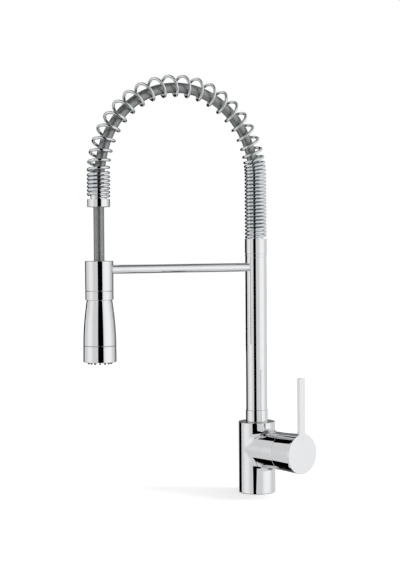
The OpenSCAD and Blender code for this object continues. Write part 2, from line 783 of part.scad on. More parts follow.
module hose_nut() {
    lip = sleeve_r + 0.3;
    cavity = sleeve_r + 1.1;
    outer = dock_bore_r - seat_fit;
    z_lip = z_hose_end + 0.3;
    top = z_lip + 12;
    color("silver") at_spray() turned([[cavity, z_nut], [outer, z_nut], [outer, top], [lip, top],
        [lip, z_lip], [cavity, z_lip]]);
}

module hose_washer() {
    color("#303030") at_spray() translate([0, 0, z_nut]) difference() {
        cylinder(r = sleeve_r + 1, h = washer_t);
        translate([0, 0, -over]) cylinder(r = waterway_bore_r, h = washer_t + 2 * over);
    }
}

valve_r = 6;
valve_h = 12;
valve_in = 2.5;                 // depth of the valve below the waterway's mouth
washer_t = 3.1;
waterway_bore_r = 4.5;

module check_valve() {
    top = z_nut - valve_in;
    low = top - valve_h;
    r = valve_r - seat_fit;
    color("steelblue") at_spray() turned([[0, low], [2, low], [2, low + 3], [r, low + 3], [r, top], [3, top],
        [3, top - 3], [0, top - 3]]);
}

module waterway() {
    top = z_nut - seat_fit;
    step = z_shell - shell_neck_h - seat_fit;
    foot = z_seam + 2.1;
    body_r = 11;
    flange_r = shell_low_d / 2 - shell_wall - 0.5 - seat_fit;
    hub_low = z_face + face_lip_h + plate_t + mat_t + seam_gap;
    mouth_r = dock_bore_r - seat_fit;
    valve_seat = top - valve_h - valve_in;
    color("ivory") at_spray() difference() {
        turned([[0, hub_low], [hub_r, hub_low], [hub_r, foot], [flange_r, foot], [flange_r, foot + 5],
            [body_r, foot + 5], [body_r, step], [mouth_r, step], [mouth_r, top], [valve_r, top],
            [valve_r, valve_seat], [waterway_bore_r, valve_seat], [waterway_bore_r, foot + 3],
            [0, foot + 3]]);
        translate([0, 0, hub_low - over]) cylinder(d = face_bolt_d + 2 * seat_fit, h = 12);
        for (turn = [45:90:315])
            rotate(turn) translate([hub_r + 1.2, 0, foot - over]) cylinder(d = 3, h = 12);
    }
}

// Shell: a slender bell that spreads from the ring to the seam.
module spray_shell() {
    top_r = shell_top_d / 2;
    low_r = shell_low_d / 2;
    function bell(t) = top_r + (low_r - top_r) * sin(90 * pow(t, 0.92));
    outside = [for (i = [0:16]) let (t = i / 16) [bell(t), z_shell - shell_h * t]];
    inside = [for (i = [16:-1:3]) let (t = i / 16) [bell(t) - shell_wall, z_shell - shell_h * t]];
    thread_r = low_r - shell_wall - 0.5;
    z_thread = z_seam + 7.3;
    color("gainsboro") at_spray() difference() {
        turned(concat([[shell_neck_r, z_shell]], outside, inside, [[shell_neck_r, z_shell - shell_neck_h]]));
        translate([0, 0, z_seam - over]) cylinder(r = thread_r, h = z_thread - z_seam + over);
    }
}

module flow_plate() {
    r = ring_bore_r - 0.4;
    low = z_seam - flow_plate_in;
    top = low + 3.4;
    color("ivory") at_spray() difference() {
        turned([[hub_r + seat_fit, low], [r, low], [r, low + 0.6], [r - 2, low + 0.6], [r - 2, top - 0.6],
            [r, top - 0.6], [r, top], [hub_r + seat_fit, top]]);
        for (turn = [0:30:330]) rotate(turn) translate([12, 0, low - over]) cylinder(d = 2.4, h = 6);
    }
}

module face_seal() {
    color("#262626") at_spray() rotate_extrude()
        translate([ring_bore_r - 0.03 - face_seal_r, z_seam - flow_plate_in + 1.7])
            circle(r = face_seal_r, $fn = 24);
}

module face_screw() {
    head_z = z_face + 1;
    hub_low = z_face + face_lip_h + plate_t + mat_t + seam_gap;
    color("silver") at_spray() difference() {
        union() {
            translate([0, 0, head_z]) cylinder(r = face_head_r, h = face_head_t);
            translate([0, 0, head_z]) cylinder(d = face_bolt_d, h = hub_low - head_z + 9);
        }
        translate([0, 0, head_z - over]) cylinder(d = key_d, h = 1.2 + over, $fn = 6);
    }
}

module spray_ring() {
    top_r = shell_low_d / 2;
    low_r = spray_ring_d / 2;
    top = z_seam - seam_gap;
    lip_z = z_face + face_lip_h;
    color("gainsboro") at_spray() turned(concat([[face_lip_r, z_face]],
        arc([low_r - base_edge, z_face + base_edge], base_edge, -90, 0, 4),
        [[top_r, top - fine_edge], [top_r - fine_edge, top], [ring_bore_r, top], [ring_bore_r, lip_z],
        [face_lip_r, lip_z]]));
}

module at_nozzles() {
    for (row = nozzle_rows, i = [0:row[1] - 1])
        at_spray() rotate(nozzle_line + i * 360 / row[1]) translate([row[0], 0, 0]) children();
}

module nozzle_plate() {
    z = z_face + face_lip_h;
    through = plate_t + 2 * over;
    color("gray") difference() {
        at_spray() translate([0, 0, z]) cylinder(r = ring_bore_r - seat_fit, h = plate_t);
        at_nozzles() translate([0, 0, z - over]) cylinder(r = nozzle_d / 2 + seat_fit, h = through);
        at_spray() translate([0, 0, z - over]) {
            cylinder(d = face_bolt_d + 2 * seam_gap, h = through);
            cylinder(r = face_head_r + seam_gap, h = over + 1 + face_head_t);
        }
    }
}

module nozzle_mat() {
    z = z_face + face_lip_h + plate_t;
    low = z_face - nozzle_out;
    color("#202020") union() {
        at_spray() translate([0, 0, z]) difference() {
            cylinder(r = mat_r, h = mat_t);
            translate([0, 0, -over]) cylinder(r = face_bolt_d, h = mat_t + 2 * over);
        }
        at_nozzles() translate([0, 0, low]) cylinder(d = nozzle_d, h = z - low + mat_t / 2);
    }
}

base_body();
base_gasket();
fixing_stud();
horseshoe_gasket();
horseshoe_plate();
fixing_nut();
swivel_bush();
swivel_screw();
cartridge_seals();
cartridge_base();
ceramic_disc_fixed();
cartridge_housing();
cartridge_nut();
dome_ring();
column_spigot();
spigot_orings();
column_collar();
column_tube();
column_head();
column_band();
spring_ferrule();
hose_end_upper();
spring();
hose();
arm_rod();
spray_holder();
holder_bush();
spring_end_collar();
hose_end_lower();
spray_collar();
hose_nut();
hose_washer();
check_valve();
waterway();
spray_shell();
flow_plate();
face_seal();
face_screw();
spray_ring();
nozzle_plate();
nozzle_mat();
stem_carrier();
carrier_pin();
lever_stem();
handle();
handle_screw();
ceramic_disc_moving();
disc_carrier();
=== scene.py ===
import json
import math

import bmesh
import bpy
from mathutils import Matrix, Vector


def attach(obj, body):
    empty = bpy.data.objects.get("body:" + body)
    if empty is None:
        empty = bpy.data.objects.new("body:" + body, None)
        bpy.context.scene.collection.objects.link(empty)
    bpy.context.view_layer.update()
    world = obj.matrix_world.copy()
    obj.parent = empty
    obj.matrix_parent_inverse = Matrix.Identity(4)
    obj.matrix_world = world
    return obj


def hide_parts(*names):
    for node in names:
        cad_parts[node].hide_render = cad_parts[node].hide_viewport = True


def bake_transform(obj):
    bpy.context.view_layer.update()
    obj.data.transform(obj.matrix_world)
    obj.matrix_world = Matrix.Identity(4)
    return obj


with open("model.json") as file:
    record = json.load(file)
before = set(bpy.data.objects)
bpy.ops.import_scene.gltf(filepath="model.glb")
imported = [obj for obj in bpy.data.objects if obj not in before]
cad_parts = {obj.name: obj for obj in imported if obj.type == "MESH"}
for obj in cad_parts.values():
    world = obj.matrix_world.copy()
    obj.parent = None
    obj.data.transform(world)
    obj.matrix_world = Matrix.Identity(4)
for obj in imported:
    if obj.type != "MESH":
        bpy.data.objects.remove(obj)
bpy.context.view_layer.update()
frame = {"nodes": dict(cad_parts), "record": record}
scene = bpy.context.scene

# ---- Camera ----
# The camera stands in front and to the left of the column, level with the cross arm, and looks at it
# through a long lens.
MM = 0.001
yaw, pitch, roll = math.radians(29.684), math.radians(1.692), math.radians(-0.384)
ahead = Vector((math.sin(yaw) * math.cos(pitch), math.cos(yaw) * math.cos(pitch), -math.sin(pitch)))
beside = Vector((math.cos(yaw), -math.sin(yaw), 0))
above = beside.cross(ahead)
right = beside * math.cos(roll) + above * math.sin(roll)
up = above * math.cos(roll) - beside * math.sin(roll)
camera = bpy.data.objects.new("camera", bpy.data.cameras.new("camera"))
scene.collection.objects.link(camera)
camera.data.lens = 83.46
camera.data.sensor_width = 36
camera.data.clip_start, camera.data.clip_end = 0.05, 60
camera.matrix_world = Matrix.Translation((-0.91594, -1.45961, 0.32148)) @ Matrix(
    (right, up, -ahead)).transposed().to_4x4()
scene.camera = camera
scene.view_settings.view_transform = "Standard"

# ---- Studio ----
# A white room with a pale floor and two wide softboxes. Black and grey cards stand round the faucet and lie
# on the floor, where only polished metal sees them, and two soft lamps light the rest.
to_camera = Vector((-math.sin(yaw), -math.cos(yaw), 0))
ROOM_MIRRORED, ROOM_SCATTERED = 0.85, 0.78          # how bright polished and dull surfaces find the room
SOFTBOXES = ((-71, 30, 0.28), (66, 42, 0.38))       # degrees from the camera's side, half width, extra light
CEILING_FROM, CEILING_TO, CEILING_LIGHT = 0.76, 0.86, 0.2


def put(tree, kind, values=None, **settings):
    """Adds a node; a value may be a number, a colour or another node's socket."""
    node = tree.nodes.new(kind)
    for name, value in settings.items():
        setattr(node, name, value)
    for key, value in (values or {}).items():
        if isinstance(value, bpy.types.NodeSocket):
            tree.links.new(value, node.inputs[key])
        else:
            node.inputs[key].default_value = value
    return node


def plainly_seen(tree, rays):
    """1 for camera, mirrored and refracted rays, 0 for scattered light."""
    seen = put(tree, "ShaderNodeMath", {0: rays.outputs["Is Camera Ray"], 1: rays.outputs["Is Glossy Ray"]},
               operation="MAXIMUM")
    return put(tree, "ShaderNodeMath", {0: seen.outputs[0], 1: rays.outputs["Is Transmission Ray"]},
               operation="MAXIMUM").outputs[0]


scene.world = bpy.data.worlds.new("studio")
scene.world.use_nodes = True
tree = scene.world.node_tree
tree.nodes.clear()
rays = put(tree, "ShaderNodeLightPath")
seen = plainly_seen(tree, rays)
way = put(tree, "ShaderNodeTexCoord").outputs["Generated"]
room = ROOM_MIRRORED
for offset, width, gain in SOFTBOXES:
    turn = math.atan2(to_camera.y, to_camera.x) + math.radians(offset)
    facing = put(tree, "ShaderNodeVectorMath", {0: way, 1: (math.cos(turn), math.sin(turn), 0)},
                 operation="DOT_PRODUCT")
    softbox = put(tree, "ShaderNodeMapRange", {
        "Value": facing.outputs["Value"], "From Min": math.cos(math.radians(width)), "From Max": 1.0,
        "To Max": gain}, interpolation_type="SMOOTHSTEP")
    room = put(tree, "ShaderNodeMath", {0: softbox.outputs[0], 1: room}, operation="ADD").outputs[0]
height = put(tree, "ShaderNodeSeparateXYZ", {0: way}).outputs["Z"]
ceiling = put(tree, "ShaderNodeMapRange", {"Value": height, "From Min": CEILING_FROM, "From Max": CEILING_TO,
                                           "To Min": 1.0, "To Max": CEILING_LIGHT})
room = put(tree, "ShaderNodeMath", {0: room, 1: ceiling.outputs[0]}, operation="MULTIPLY").outputs[0]
level = put(tree, "ShaderNodeMapRange", {"Value": seen, "To Min": ROOM_SCATTERED, "To Max": 1.0})
strength = put(tree, "ShaderNodeMix", {0: rays.outputs["Is Glossy Ray"], 2: level.outputs[0], 3: room})
sky = put(tree, "ShaderNodeBackground", {"Color": (1, 1, 1, 1), "Strength": strength.outputs[0]})
put(tree, "ShaderNodeOutputWorld", {"Surface": sky.outputs[0]})


def stage_plane(name, corners, material):
    """A flat stage piece from its corners."""
    mesh = bpy.data.meshes.new(name)
    mesh.from_pydata([Vector(c) for c in corners], [], [tuple(range(len(corners)))])
    mesh.materials.append(material)
    plane = bpy.data.objects.new(name, mesh)
    scene.collection.objects.link(plane)
    return plane


def new_material(name):
    """A material with an empty node tree."""
    material = bpy.data.materials.new(name)
    material.use_nodes = True
    material.node_tree.nodes.clear()
    return material


# The floor glows a little, more where the lamps don't reach, so that it is evenly white round a soft shadow.
NEAR, FAR, GLOW_NEAR, GLOW_FAR = 0.5, 2.0, 0.29, 0.42
FLOOR_HALF, FLOOR_Z, FLOOR_CARD_Z = 5, -0.0002, -0.0001
floor_paint = new_material("floor_paint")
tree = floor_paint.node_tree
seen = plainly_seen(tree, put(tree, "ShaderNodeLightPath"))
from_part = put(tree, "ShaderNodeVectorMath", {0: put(tree, "ShaderNodeTexCoord").outputs["Object"]},
                operation="LENGTH")
lift = put(tree, "ShaderNodeMapRange", {"Value": from_part.outputs["Value"], "From Min": NEAR,
                                        "From Max": FAR, "To Min": GLOW_NEAR, "To Max": GLOW_FAR})
fill = put(tree, "ShaderNodeMath", {0: seen, 1: lift.outputs[0]}, operation="MULTIPLY")
paint = put(tree, "ShaderNodeBsdfDiffuse", {"Color": (0.82, 0.82, 0.82, 1)})
glow = put(tree, "ShaderNodeEmission", {"Color": (1, 1, 1, 1), "Strength": fill.outputs[0]})
both = put(tree, "ShaderNodeAddShader", {0: paint.outputs[0], 1: glow.outputs[0]})
under = put(tree, "ShaderNodeNewGeometry")
clear = put(tree, "ShaderNodeBsdfTransparent")
shown = put(tree, "ShaderNodeMixShader", {
    0: under.outputs["Backfacing"], 1: both.outputs[0], 2: clear.outputs[0]})
put(tree, "ShaderNodeOutputMaterial", {"Surface": shown.outputs[0]})
floor = stage_plane("floor", [(x * FLOOR_HALF, y * FLOOR_HALF, FLOOR_Z)
                              for x, y in ((-1, -1), (1, -1), (1, 1), (-1, 1))], floor_paint)
floor.visible_glossy = False


def glow_paint(name, strength):
    """A plain glowing card, black at strength 0."""
    material = new_material(name)
    card = put(material.node_tree, "ShaderNodeEmission", {"Color": (1, 1, 1, 1), "Strength": strength})
    put(material.node_tree, "ShaderNodeOutputMaterial", {"Surface": card.outputs[0]})
    return material


black_card = glow_paint("black_card", 0.0)
grey_card = glow_paint("grey_card", 0.2)


def steep_paint(name, strength, steepness, full_within, clear_from):
    """Paint for a card on the floor that only rays near one steepness see, 0 straight down and 1 level."""
    material = new_material(name)
    tree = material.node_tree
    slant = put(tree, "ShaderNodeLayerWeight", {"Blend": 0.5})
    away = put(tree, "ShaderNodeMath", {0: slant.outputs["Facing"], 1: steepness}, operation="SUBTRACT")
    away = put(tree, "ShaderNodeMath", {0: away.outputs[0]}, operation="ABSOLUTE")
    fade = put(tree, "ShaderNodeMapRange", {
        "Value": away.outputs[0], "From Min": full_within, "From Max": clear_from})
    card = put(tree, "ShaderNodeEmission", {"Strength": strength})
    clear = put(tree, "ShaderNodeBsdfTransparent")
    shown = put(tree, "ShaderNodeMixShader", {0: fade.outputs[0], 1: card.outputs[0], 2: clear.outputs[0]})
    put(tree, "ShaderNodeOutputMaterial", {"Surface": shown.outputs[0]})
    return material


under_branch = steep_paint("under_branch", 0.0, 0.36, 0.095, 0.155)
under_root = steep_paint("under_root", 0.1, 0.36, 0.095, 0.155)
under_arm = steep_paint("under_arm", 0.0, 0.0, 0.5, 0.8)
FRONT_AWAY, BACK_AWAY = 0.44, 0.75
front = [to_camera * FRONT_AWAY + beside * x + Vector((0, 0, z)) for x, z in (
    (-0.245, 1.6), (-0.012, 1.6), (-0.012, 0.06), (0.02, 0.0), (-0.058, -0.08), (-0.012, -0.25),
    (-0.012, -1.0), (-0.245, -1.0), (-0.245, -0.25), (-0.205, -0.08), (-0.245, 0.0))]
back = [Vector((math.cos(math.radians(turn)), math.sin(math.radians(turn)), z)) * BACK_AWAY
        for turn, z in ((128, -0.4), (91, -0.4), (91, 0.16), (72, 0.18), (72, 1.3), (128, 1.3))]
side = [Vector((0.114, 0.066, z)) for z in (1.0, -0.6)] + [Vector((0.25, 0.6, z)) for z in (-0.6, 1.0)]
cards = [stage_plane("front_card", front, black_card), stage_plane("back_card", back, black_card),
         stage_plane("side_card", side, grey_card)]
for name, corners, finish in (
        ("branch_card", ((-0.065, 0.051), (-0.048, -0.034), (0.01, -0.038), (-0.004, 0.051)), under_branch),
        ("root_card", ((-0.004, 0.051), (0.01, -0.038), (0.1, -0.04), (0.1, 0.051)), under_root),
        ("arm_card", ((-0.07, 0.15), (0.03, 0.15), (0.21, 0.52), (0.1, 0.52)), under_arm)):
    cards.append(stage_plane(name, [(x, y, FLOOR_CARD_Z) for x, y in corners], finish))
for card in cards:
    card.visible_camera = card.visible_diffuse = card.visible_shadow = card.visible_transmission = False

LAMPS_AIM = Vector((-0.05, 0, 0.2))
for name, place, size, power, colour in (
        ("key_lamp", (0.95, -0.88, 0.85), 0.5, 14.0, (1.0, 0.99, 0.97)),
        ("fill_lamp", (-1.3, -0.9, 1.1), 1.2, 3.0, (0.97, 0.985, 1.0))):
    lamp = bpy.data.objects.new(name, bpy.data.lights.new(name, "AREA"))
    scene.collection.objects.link(lamp)
    lamp.data.energy, lamp.data.size, lamp.data.color = power, size, colour
    lamp.location = place
    lamp.rotation_euler = (LAMPS_AIM - Vector(place)).to_track_quat("-Z", "Y").to_euler()
    lamp.visible_glossy = False

# ---- Base body ----
# The body is a hot pressed brass column with a side branch of the same width, machined inside for the
# swivel and the cartridge, polished and chrome plated.
SMOOTH_UNDER = math.radians(32)


def build(name, sheets, material, place=Matrix.Identity(4)):
    """One closed mesh from sheets of points in mm; a sheet is its rows and whether each closes on itself."""
    mesh = bpy.data.meshes.new(name)
    index, points, faces = {}, [], []

    def vertex(point):
        point = place @ Vector(point)
        key = tuple(round(c, 3) for c in point)
        if key not in index:
            index[key] = len(points)
            points.append(point * MM)
        return index[key]

    for rows, closed in sheets:
        grid = [[vertex(p) for p in row] for row in rows]
        for below, over in zip(grid, grid[1:]):
            for i in range(len(below) if closed else len(below) - 1):
                j = (i + 1) % len(below)
                face = []
                for v in (below[i], below[j], over[j], over[i]):
                    if v not in face:
                        face.append(v)
                if len(face) > 2:
                    faces.append(face)
    mesh.from_pydata(points, [], faces)
    return as_piece(name, mesh, material)


def as_piece(name, mesh, material):
    """Turns a mesh's faces outward, shades it smooth with crisp edges and puts it in the scene."""
    work = bmesh.new()
    work.from_mesh(mesh)
    bmesh.ops.recalc_face_normals(work, faces=work.faces)
    if work.calc_volume(signed=True) < 0:
        bmesh.ops.reverse_faces(work, faces=work.faces)
    work.to_mesh(mesh)
    work.free()
    mesh.polygons.foreach_set("use_smooth", [True] * len(mesh.polygons))
    mesh.set_sharp_from_angle(angle=SMOOTH_UNDER)
    if material is not None:
        mesh.materials.clear()
        mesh.materials.append(material)
    piece = bpy.data.objects.new(name, mesh)
    scene.collection.objects.link(piece)
    return piece


def arc(start, end, centre, steps=5):
    """Points of the round from start to end about centre, both ends included."""
    c = Vector(centre)
    a, b = Vector(start) - c, Vector(end) - c
    if (a - b).length < 1e-5:
        return [Vector(start)] * (steps + 1)
    turn = a.angle(b)
    return [c + (a * math.sin(turn * (1 - i / steps)) + b * math.sin(turn * i / steps)) / math.sin(turn)
            for i in range(steps + 1)]


def softened(corners, hold=0.25):
    """A turning profile. Each corner is (r, z) or (r, z, rounding); a held point beside each rounding keeps
    the flats flat in reflections."""
    out, n = [], len(corners)
    for i, corner in enumerate(corners):
        p = Vector(corner[:2])
        rounding = corner[2] if len(corner) > 2 else 0
        if not rounding:
            out.append(tuple(p))
            continue
        u = Vector(corners[i - 1][:2]) - p
        v = Vector(corners[(i + 1) % n][:2]) - p
        lengths, u, v = (u.length, v.length), u.normalized(), v.normalized()
        half = u.angle(v) / 2
        back = rounding / math.tan(half)
        centre = p + (u + v).normalized() * rounding / math.sin(half)
        if lengths[0] > back + 2 * hold:
            out.append(tuple(p + u * (back + hold)))
        out += [tuple(q) for q in arc(p + u * back, p + v * back, centre)]
        if lengths[1] > back + 2 * hold:
            out.append(tuple(p + v * (back + hold)))
    return out


def turned(name, profile, material, steps=144, place=Matrix.Identity(4)):
    """A turned piece. The profile is closed unless it starts and ends on the axis."""
    if not (profile[0][0] == 0 and profile[-1][0] == 0):
        profile = list(profile) + [profile[0]]
    turns = [2 * math.pi * i / steps for i in range(steps)]
    rows = [[(r * math.cos(t), r * math.sin(t), z) for t in turns] for r, z in profile]
    return build(name, [(rows, True)], material, place=place)


BASE_R, BASE_H, BASE_EDGE = 24.0, 92.2, 0.8
GROOVE_IN, GROOVE_OUT, GROOVE_DEEP = 19.5, 22.5, 2               # the gasket's groove in the foot
BUSH_R, BUSH_DEEP, SPIGOT_WAY_R, SPIGOT_WAY_Z = 14.11, 4, 11.06, 62.5
BRANCH_Z, BRANCH_TURN = 57.9, math.radians(-78.2)
PIVOT_L, RIM_BALL_R, BRANCH_END = 36.0, 27.985, 51.3             # the lever's pivot and the rim under its cap
CARTRIDGE_BORE = ((20.15, 46), (19.35, 41), (17.45, 14))         # radius and end of each step
JOIN_R, JOIN_SIDE = 4.0, 7.5            # rounding where the branch leaves the column, softer at its sides
HOLD = 0.4                              # a held ring this far beside a rounding keeps the flat flat
along = Vector((math.cos(BRANCH_TURN), math.sin(BRANCH_TURN), 0))
aside = Vector((-math.sin(BRANCH_TURN), math.cos(BRANCH_TURN), 0))
on_branch = Matrix.Translation((0, 0, BRANCH_Z)) @ Matrix((aside, (0, 0, 1), along)).transposed().to_4x4()


def base_sheets():
    """The column below and above the branch, and the branch with its mouth, all sharing their edges."""
    steps = 72
    front = [math.pi * (i / steps - 0.5) for i in range(steps + 1)]
    round_all = front + [math.pi / 2 + math.pi * i / steps for i in range(1, steps)]

    def spread(k):
        """Where the rounding ends, from the crossing of the axes; k is 0 at the sides and 1 on top."""
        return (BASE_R + JOIN_R) * k + JOIN_SIDE * math.sqrt(k * (1 - min(k * k, 1)))

    def wall(turn, z):
        return along * (BASE_R * math.cos(turn)) + aside * (BASE_R * math.sin(turn)) + Vector((0, 0, z))

    def ring(r, z):
        return [along * (r * math.cos(t)) + aside * (r * math.sin(t)) + Vector((0, 0, z)) for t in round_all]

    below, above = [], []
    edge_r, edge_z, flat_r = BASE_R - BASE_EDGE, BASE_H - BASE_EDGE, BASE_R - 1
    foot = [(0, 0), (GROOVE_IN, 0), (GROOVE_IN, GROOVE_DEEP), (GROOVE_OUT, GROOVE_DEEP), (GROOVE_OUT, 0),
            (flat_r, 0)]
    for r, z in foot + [tuple(p) for p in arc((edge_r, 0), (BASE_R, BASE_EDGE), (edge_r, BASE_EDGE))]:
        below.append(ring(r, z))
    below.append(ring(BASE_R, BASE_EDGE + HOLD))
    for extra in (HOLD, 0):
        lift = [spread(max(math.cos(t), 0)) + extra * max(math.cos(t), 0) for t in round_all]
        below.append([wall(t, BRANCH_Z - rise) for t, rise in zip(round_all, lift)])
        above.append([wall(t, BRANCH_Z + rise) for t, rise in zip(round_all, lift)])
    above.reverse()
    above.append(ring(BASE_R, edge_z - HOLD))
    mouth = [(flat_r, BASE_H), (BUSH_R, BASE_H), (BUSH_R, BASE_H - BUSH_DEEP),
             (SPIGOT_WAY_R, BASE_H - BUSH_DEEP), (SPIGOT_WAY_R, SPIGOT_WAY_Z), (0, SPIGOT_WAY_Z)]
    for r, z in [tuple(p) for p in arc((BASE_R, edge_z), (edge_r, BASE_H), (edge_r, edge_z))] + mouth:
        above.append(ring(r, z))
    side = [(math.sin(t), -math.cos(t)) for t in front]
    side += [(math.sin(t), math.cos(t)) for t in reversed(front[1:-1])]

    def spot(n, lift, out):
        return aside * n + along * out + Vector((0, 0, BRANCH_Z + lift))

    columns = []
    for s, c in side:
        k = abs(c)
        a = spread(k)
        centre = spot(BASE_R * s, math.copysign(a, c), a)
        start = spot(BASE_R * s, math.copysign(a, c), BASE_R * k)
        end = spot(BASE_R * s, BASE_R * c, a)
        columns.append(arc(start, end, centre, 9) + [spot(BASE_R * s, BASE_R * c, a + HOLD * k)])
    branch = [list(row) for row in zip(*columns)]
    rim_l = PIVOT_L + math.sqrt(RIM_BALL_R ** 2 - BASE_R ** 2)
    ball = [(math.sqrt(RIM_BALL_R ** 2 - (l - PIVOT_L) ** 2), l)
            for l in [rim_l + (BRANCH_END - rim_l) * i / 4 for i in range(5)]]
    bore, top = [], BRANCH_END
    for r, floor_l in CARTRIDGE_BORE:
        bore += [(r, top), (r, floor_l)]
        top = floor_l
    for r, l in [(BASE_R, rim_l - HOLD)] + ball + bore + [(0, top)]:
        branch.append([spot(r * s, r * c, l) for s, c in side])
    return [(below, True), (above, True), (branch, True)]


def effect(name, inputs, outputs):
    """A shader node group; inputs are (name, default) pairs, outputs are names."""
    group = bpy.data.node_groups.new(name, "ShaderNodeTree")
    for label, default in inputs:
        kind = "NodeSocketVector" if default is None else "NodeSocketFloat"
        socket = group.interface.new_socket(label, in_out="INPUT", socket_type=kind)
        if default is not None:
            socket.default_value = default
    for label in outputs:
        group.interface.new_socket(label, in_out="OUTPUT", socket_type="NodeSocketFloat")
    return group, group.nodes.new("NodeGroupInput"), group.nodes.new("NodeGroupOutput")


# Faint cloudy film that a wiped metal surface keeps, 0 clean to 1 filmed.
wiped_film, given, result = effect("wiped_film", [("Place", None), ("Scale", 30.0), ("Cover", 0.5)], ["Film"])
cloud = put(wiped_film, "ShaderNodeTexNoise", {
    "Vector": given.outputs["Place"], "Scale": given.outputs["Scale"], "Detail": 5.0, "Roughness": 0.6,
    "Distortion": 0.4})
low = put(wiped_film, "ShaderNodeMath", {0: 1.0, 1: given.outputs["Cover"]}, operation="SUBTRACT")
film = put(wiped_film, "ShaderNodeMapRange", {"Value": cloud.outputs["Fac"], "From Min": low.outputs[0],
                                              "From Max": 1.0}, interpolation_type="SMOOTHSTEP")
wiped_film.links.new(film.outputs[0], result.inputs["Film"])

# Hair-fine lines left by a polishing cloth or a turning tool, drawn out along one direction.
drawn_lines, given, result = effect(
    "drawn_lines", [("Place", None), ("Across", 900.0), ("Along", 40.0)], ["Lines"])
stretch = put(drawn_lines, "ShaderNodeCombineXYZ", {0: given.outputs["Along"], 1: given.outputs["Along"],
                                                    2: given.outputs["Across"]})
drawn = put(drawn_lines, "ShaderNodeVectorMath", {0: given.outputs["Place"], 1: stretch.outputs[0]},
            operation="MULTIPLY")
hair = put(drawn_lines, "ShaderNodeTexNoise", {"Vector": drawn.outputs[0], "Scale": 1.0, "Detail": 3.0})
drawn_lines.links.new(hair.outputs["Fac"], result.inputs["Lines"])


def polished_plate(name, dark, light, clean, filmed, wave=0.0):
    """Mirror plate: dark and light are its colour filmed and clean, clean and filmed its roughness, wave its
    gentle unevenness."""
    material = new_material(name)
    tree = material.node_tree
    place = put(tree, "ShaderNodeTexCoord").outputs["Object"]
    film = put(tree, "ShaderNodeGroup", {"Place": place, "Scale": 34.0, "Cover": 0.52}, node_tree=wiped_film)
    lines = put(tree, "ShaderNodeGroup", {"Place": place, "Across": 2600.0, "Along": 60.0},
                node_tree=drawn_lines)
    colour = put(tree, "ShaderNodeMix", {0: film.outputs["Film"], 6: (*light, 1), 7: (*dark, 1)},
                 data_type="RGBA")
    rough = put(tree, "ShaderNodeMapRange", {"Value": film.outputs["Film"], "To Min": clean, "To Max": filmed})
    fine = put(tree, "ShaderNodeMath", {0: lines.outputs["Lines"], 1: 0.02, 2: rough.outputs[0]},
               operation="MULTIPLY_ADD")
    swell = put(tree, "ShaderNodeTexNoise", {"Vector": place, "Scale": 55.0, "Detail": 1.0})
    bump = put(tree, "ShaderNodeBump", {"Height": swell.outputs["Fac"], "Strength": wave, "Distance": 0.0004})
    metal = put(tree, "ShaderNodeBsdfPrincipled", {"Base Color": colour.outputs[2], "Metallic": 1.0,
                                                   "Roughness": fine.outputs[0], "Normal": bump.outputs[0]})
    put(tree, "ShaderNodeOutputMaterial", {"Surface": metal.outputs[0]})
    return material


chrome = polished_plate("polished_chrome", (0.62, 0.63, 0.64), (0.70, 0.705, 0.715), 0.012, 0.05, wave=0.05)


def bored(piece, holes):
    """Drills closed round holes: (radius, depth, Matrix whose Z points into the metal)."""
    cutter = bmesh.new()
    for radius, depth, place in holes:
        start = Matrix.Translation((0, 0, depth / 2))
        bmesh.ops.create_cone(cutter, cap_ends=True, segments=48, radius1=radius, radius2=radius, depth=depth,
                              matrix=place @ start)
    mesh = bpy.data.meshes.new("cutter")
    bmesh.ops.scale(cutter, vec=(MM, MM, MM), verts=cutter.verts)
    cutter.to_mesh(mesh)
    cutter.free()
    tool = bpy.data.objects.new("cutter", mesh)
    scene.collection.objects.link(tool)
    cut = piece.modifiers.new("bore", "BOOLEAN")
    cut.operation, cut.solver, cut.object = "DIFFERENCE", "MANIFOLD", tool
    finished = applied(piece)
    bpy.data.objects.remove(tool)
    return finished


def applied(piece):
    """Swaps a piece's mesh for the one its modifiers make."""
    bpy.context.view_layer.update()
    graph = bpy.context.evaluated_depsgraph_get()
    mesh = bpy.data.meshes.new_from_object(piece.evaluated_get(graph), preserve_all_data_layers=True,
                                           depsgraph=graph)
    mesh.name = piece.name
    piece.modifiers.clear()
    piece.data = mesh
    return piece


base = build("base", base_sheets(), chrome)
plan = Matrix((along, aside, (0, 0, 1))).transposed().to_4x4()
# The fixing stud's hole, the two inlets and the swivel screw's hole.
base = bored(base, [
    (4.05, 15, plan @ Matrix.Translation((11, 0, -1))),
    (5.0, 13, plan @ Matrix.Translation((-5, 7, -1))),
    (5.0, 13, plan @ Matrix.Translation((-5, -7, -1))),
    (2.0, 14, Matrix.Translation((26, 0, 85)) @ Matrix.Rotation(math.radians(-90), 4, "Y"))])
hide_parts("base_body")
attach(base, "base")

# ---- Column ----
# A drawn brass tube on a collar that turns in the base, with a grooved band and the spring's ferrule on
# top of it. All are chrome plated; the collar and the ferrule are turned from bar.
Z_COLLAR, Z_TUBE, Z_BAND, Z_FERRULE, Z_SPRING = 92.5, 107.3, 306.4, 310.9, 330.2
TUBE_R, TUBE_BORE, COLLAR_R = 13.85, 12.65, 14.4
BAND_R, GROOVE_R, GROOVE_H, HEAD_BORE = 13.95, 13.45, 0.5, 10.55
FERRULE_R, NECK_R, NECK_TOP, HOSE_WAY_R, HEAD_TOP = 14.2, 9.85, 345, 8.1, 324.25
ARM_Z, PEG_HOLE_R = 293.5, 3.55         # the cross arm's axis, and the holes for its pegs
collar = turned("collar", softened([
    (TUBE_BORE, Z_COLLAR), (COLLAR_R, Z_COLLAR, 0.4), (COLLAR_R, Z_TUBE, 0.4), (TUBE_BORE, Z_TUBE)]), chrome)
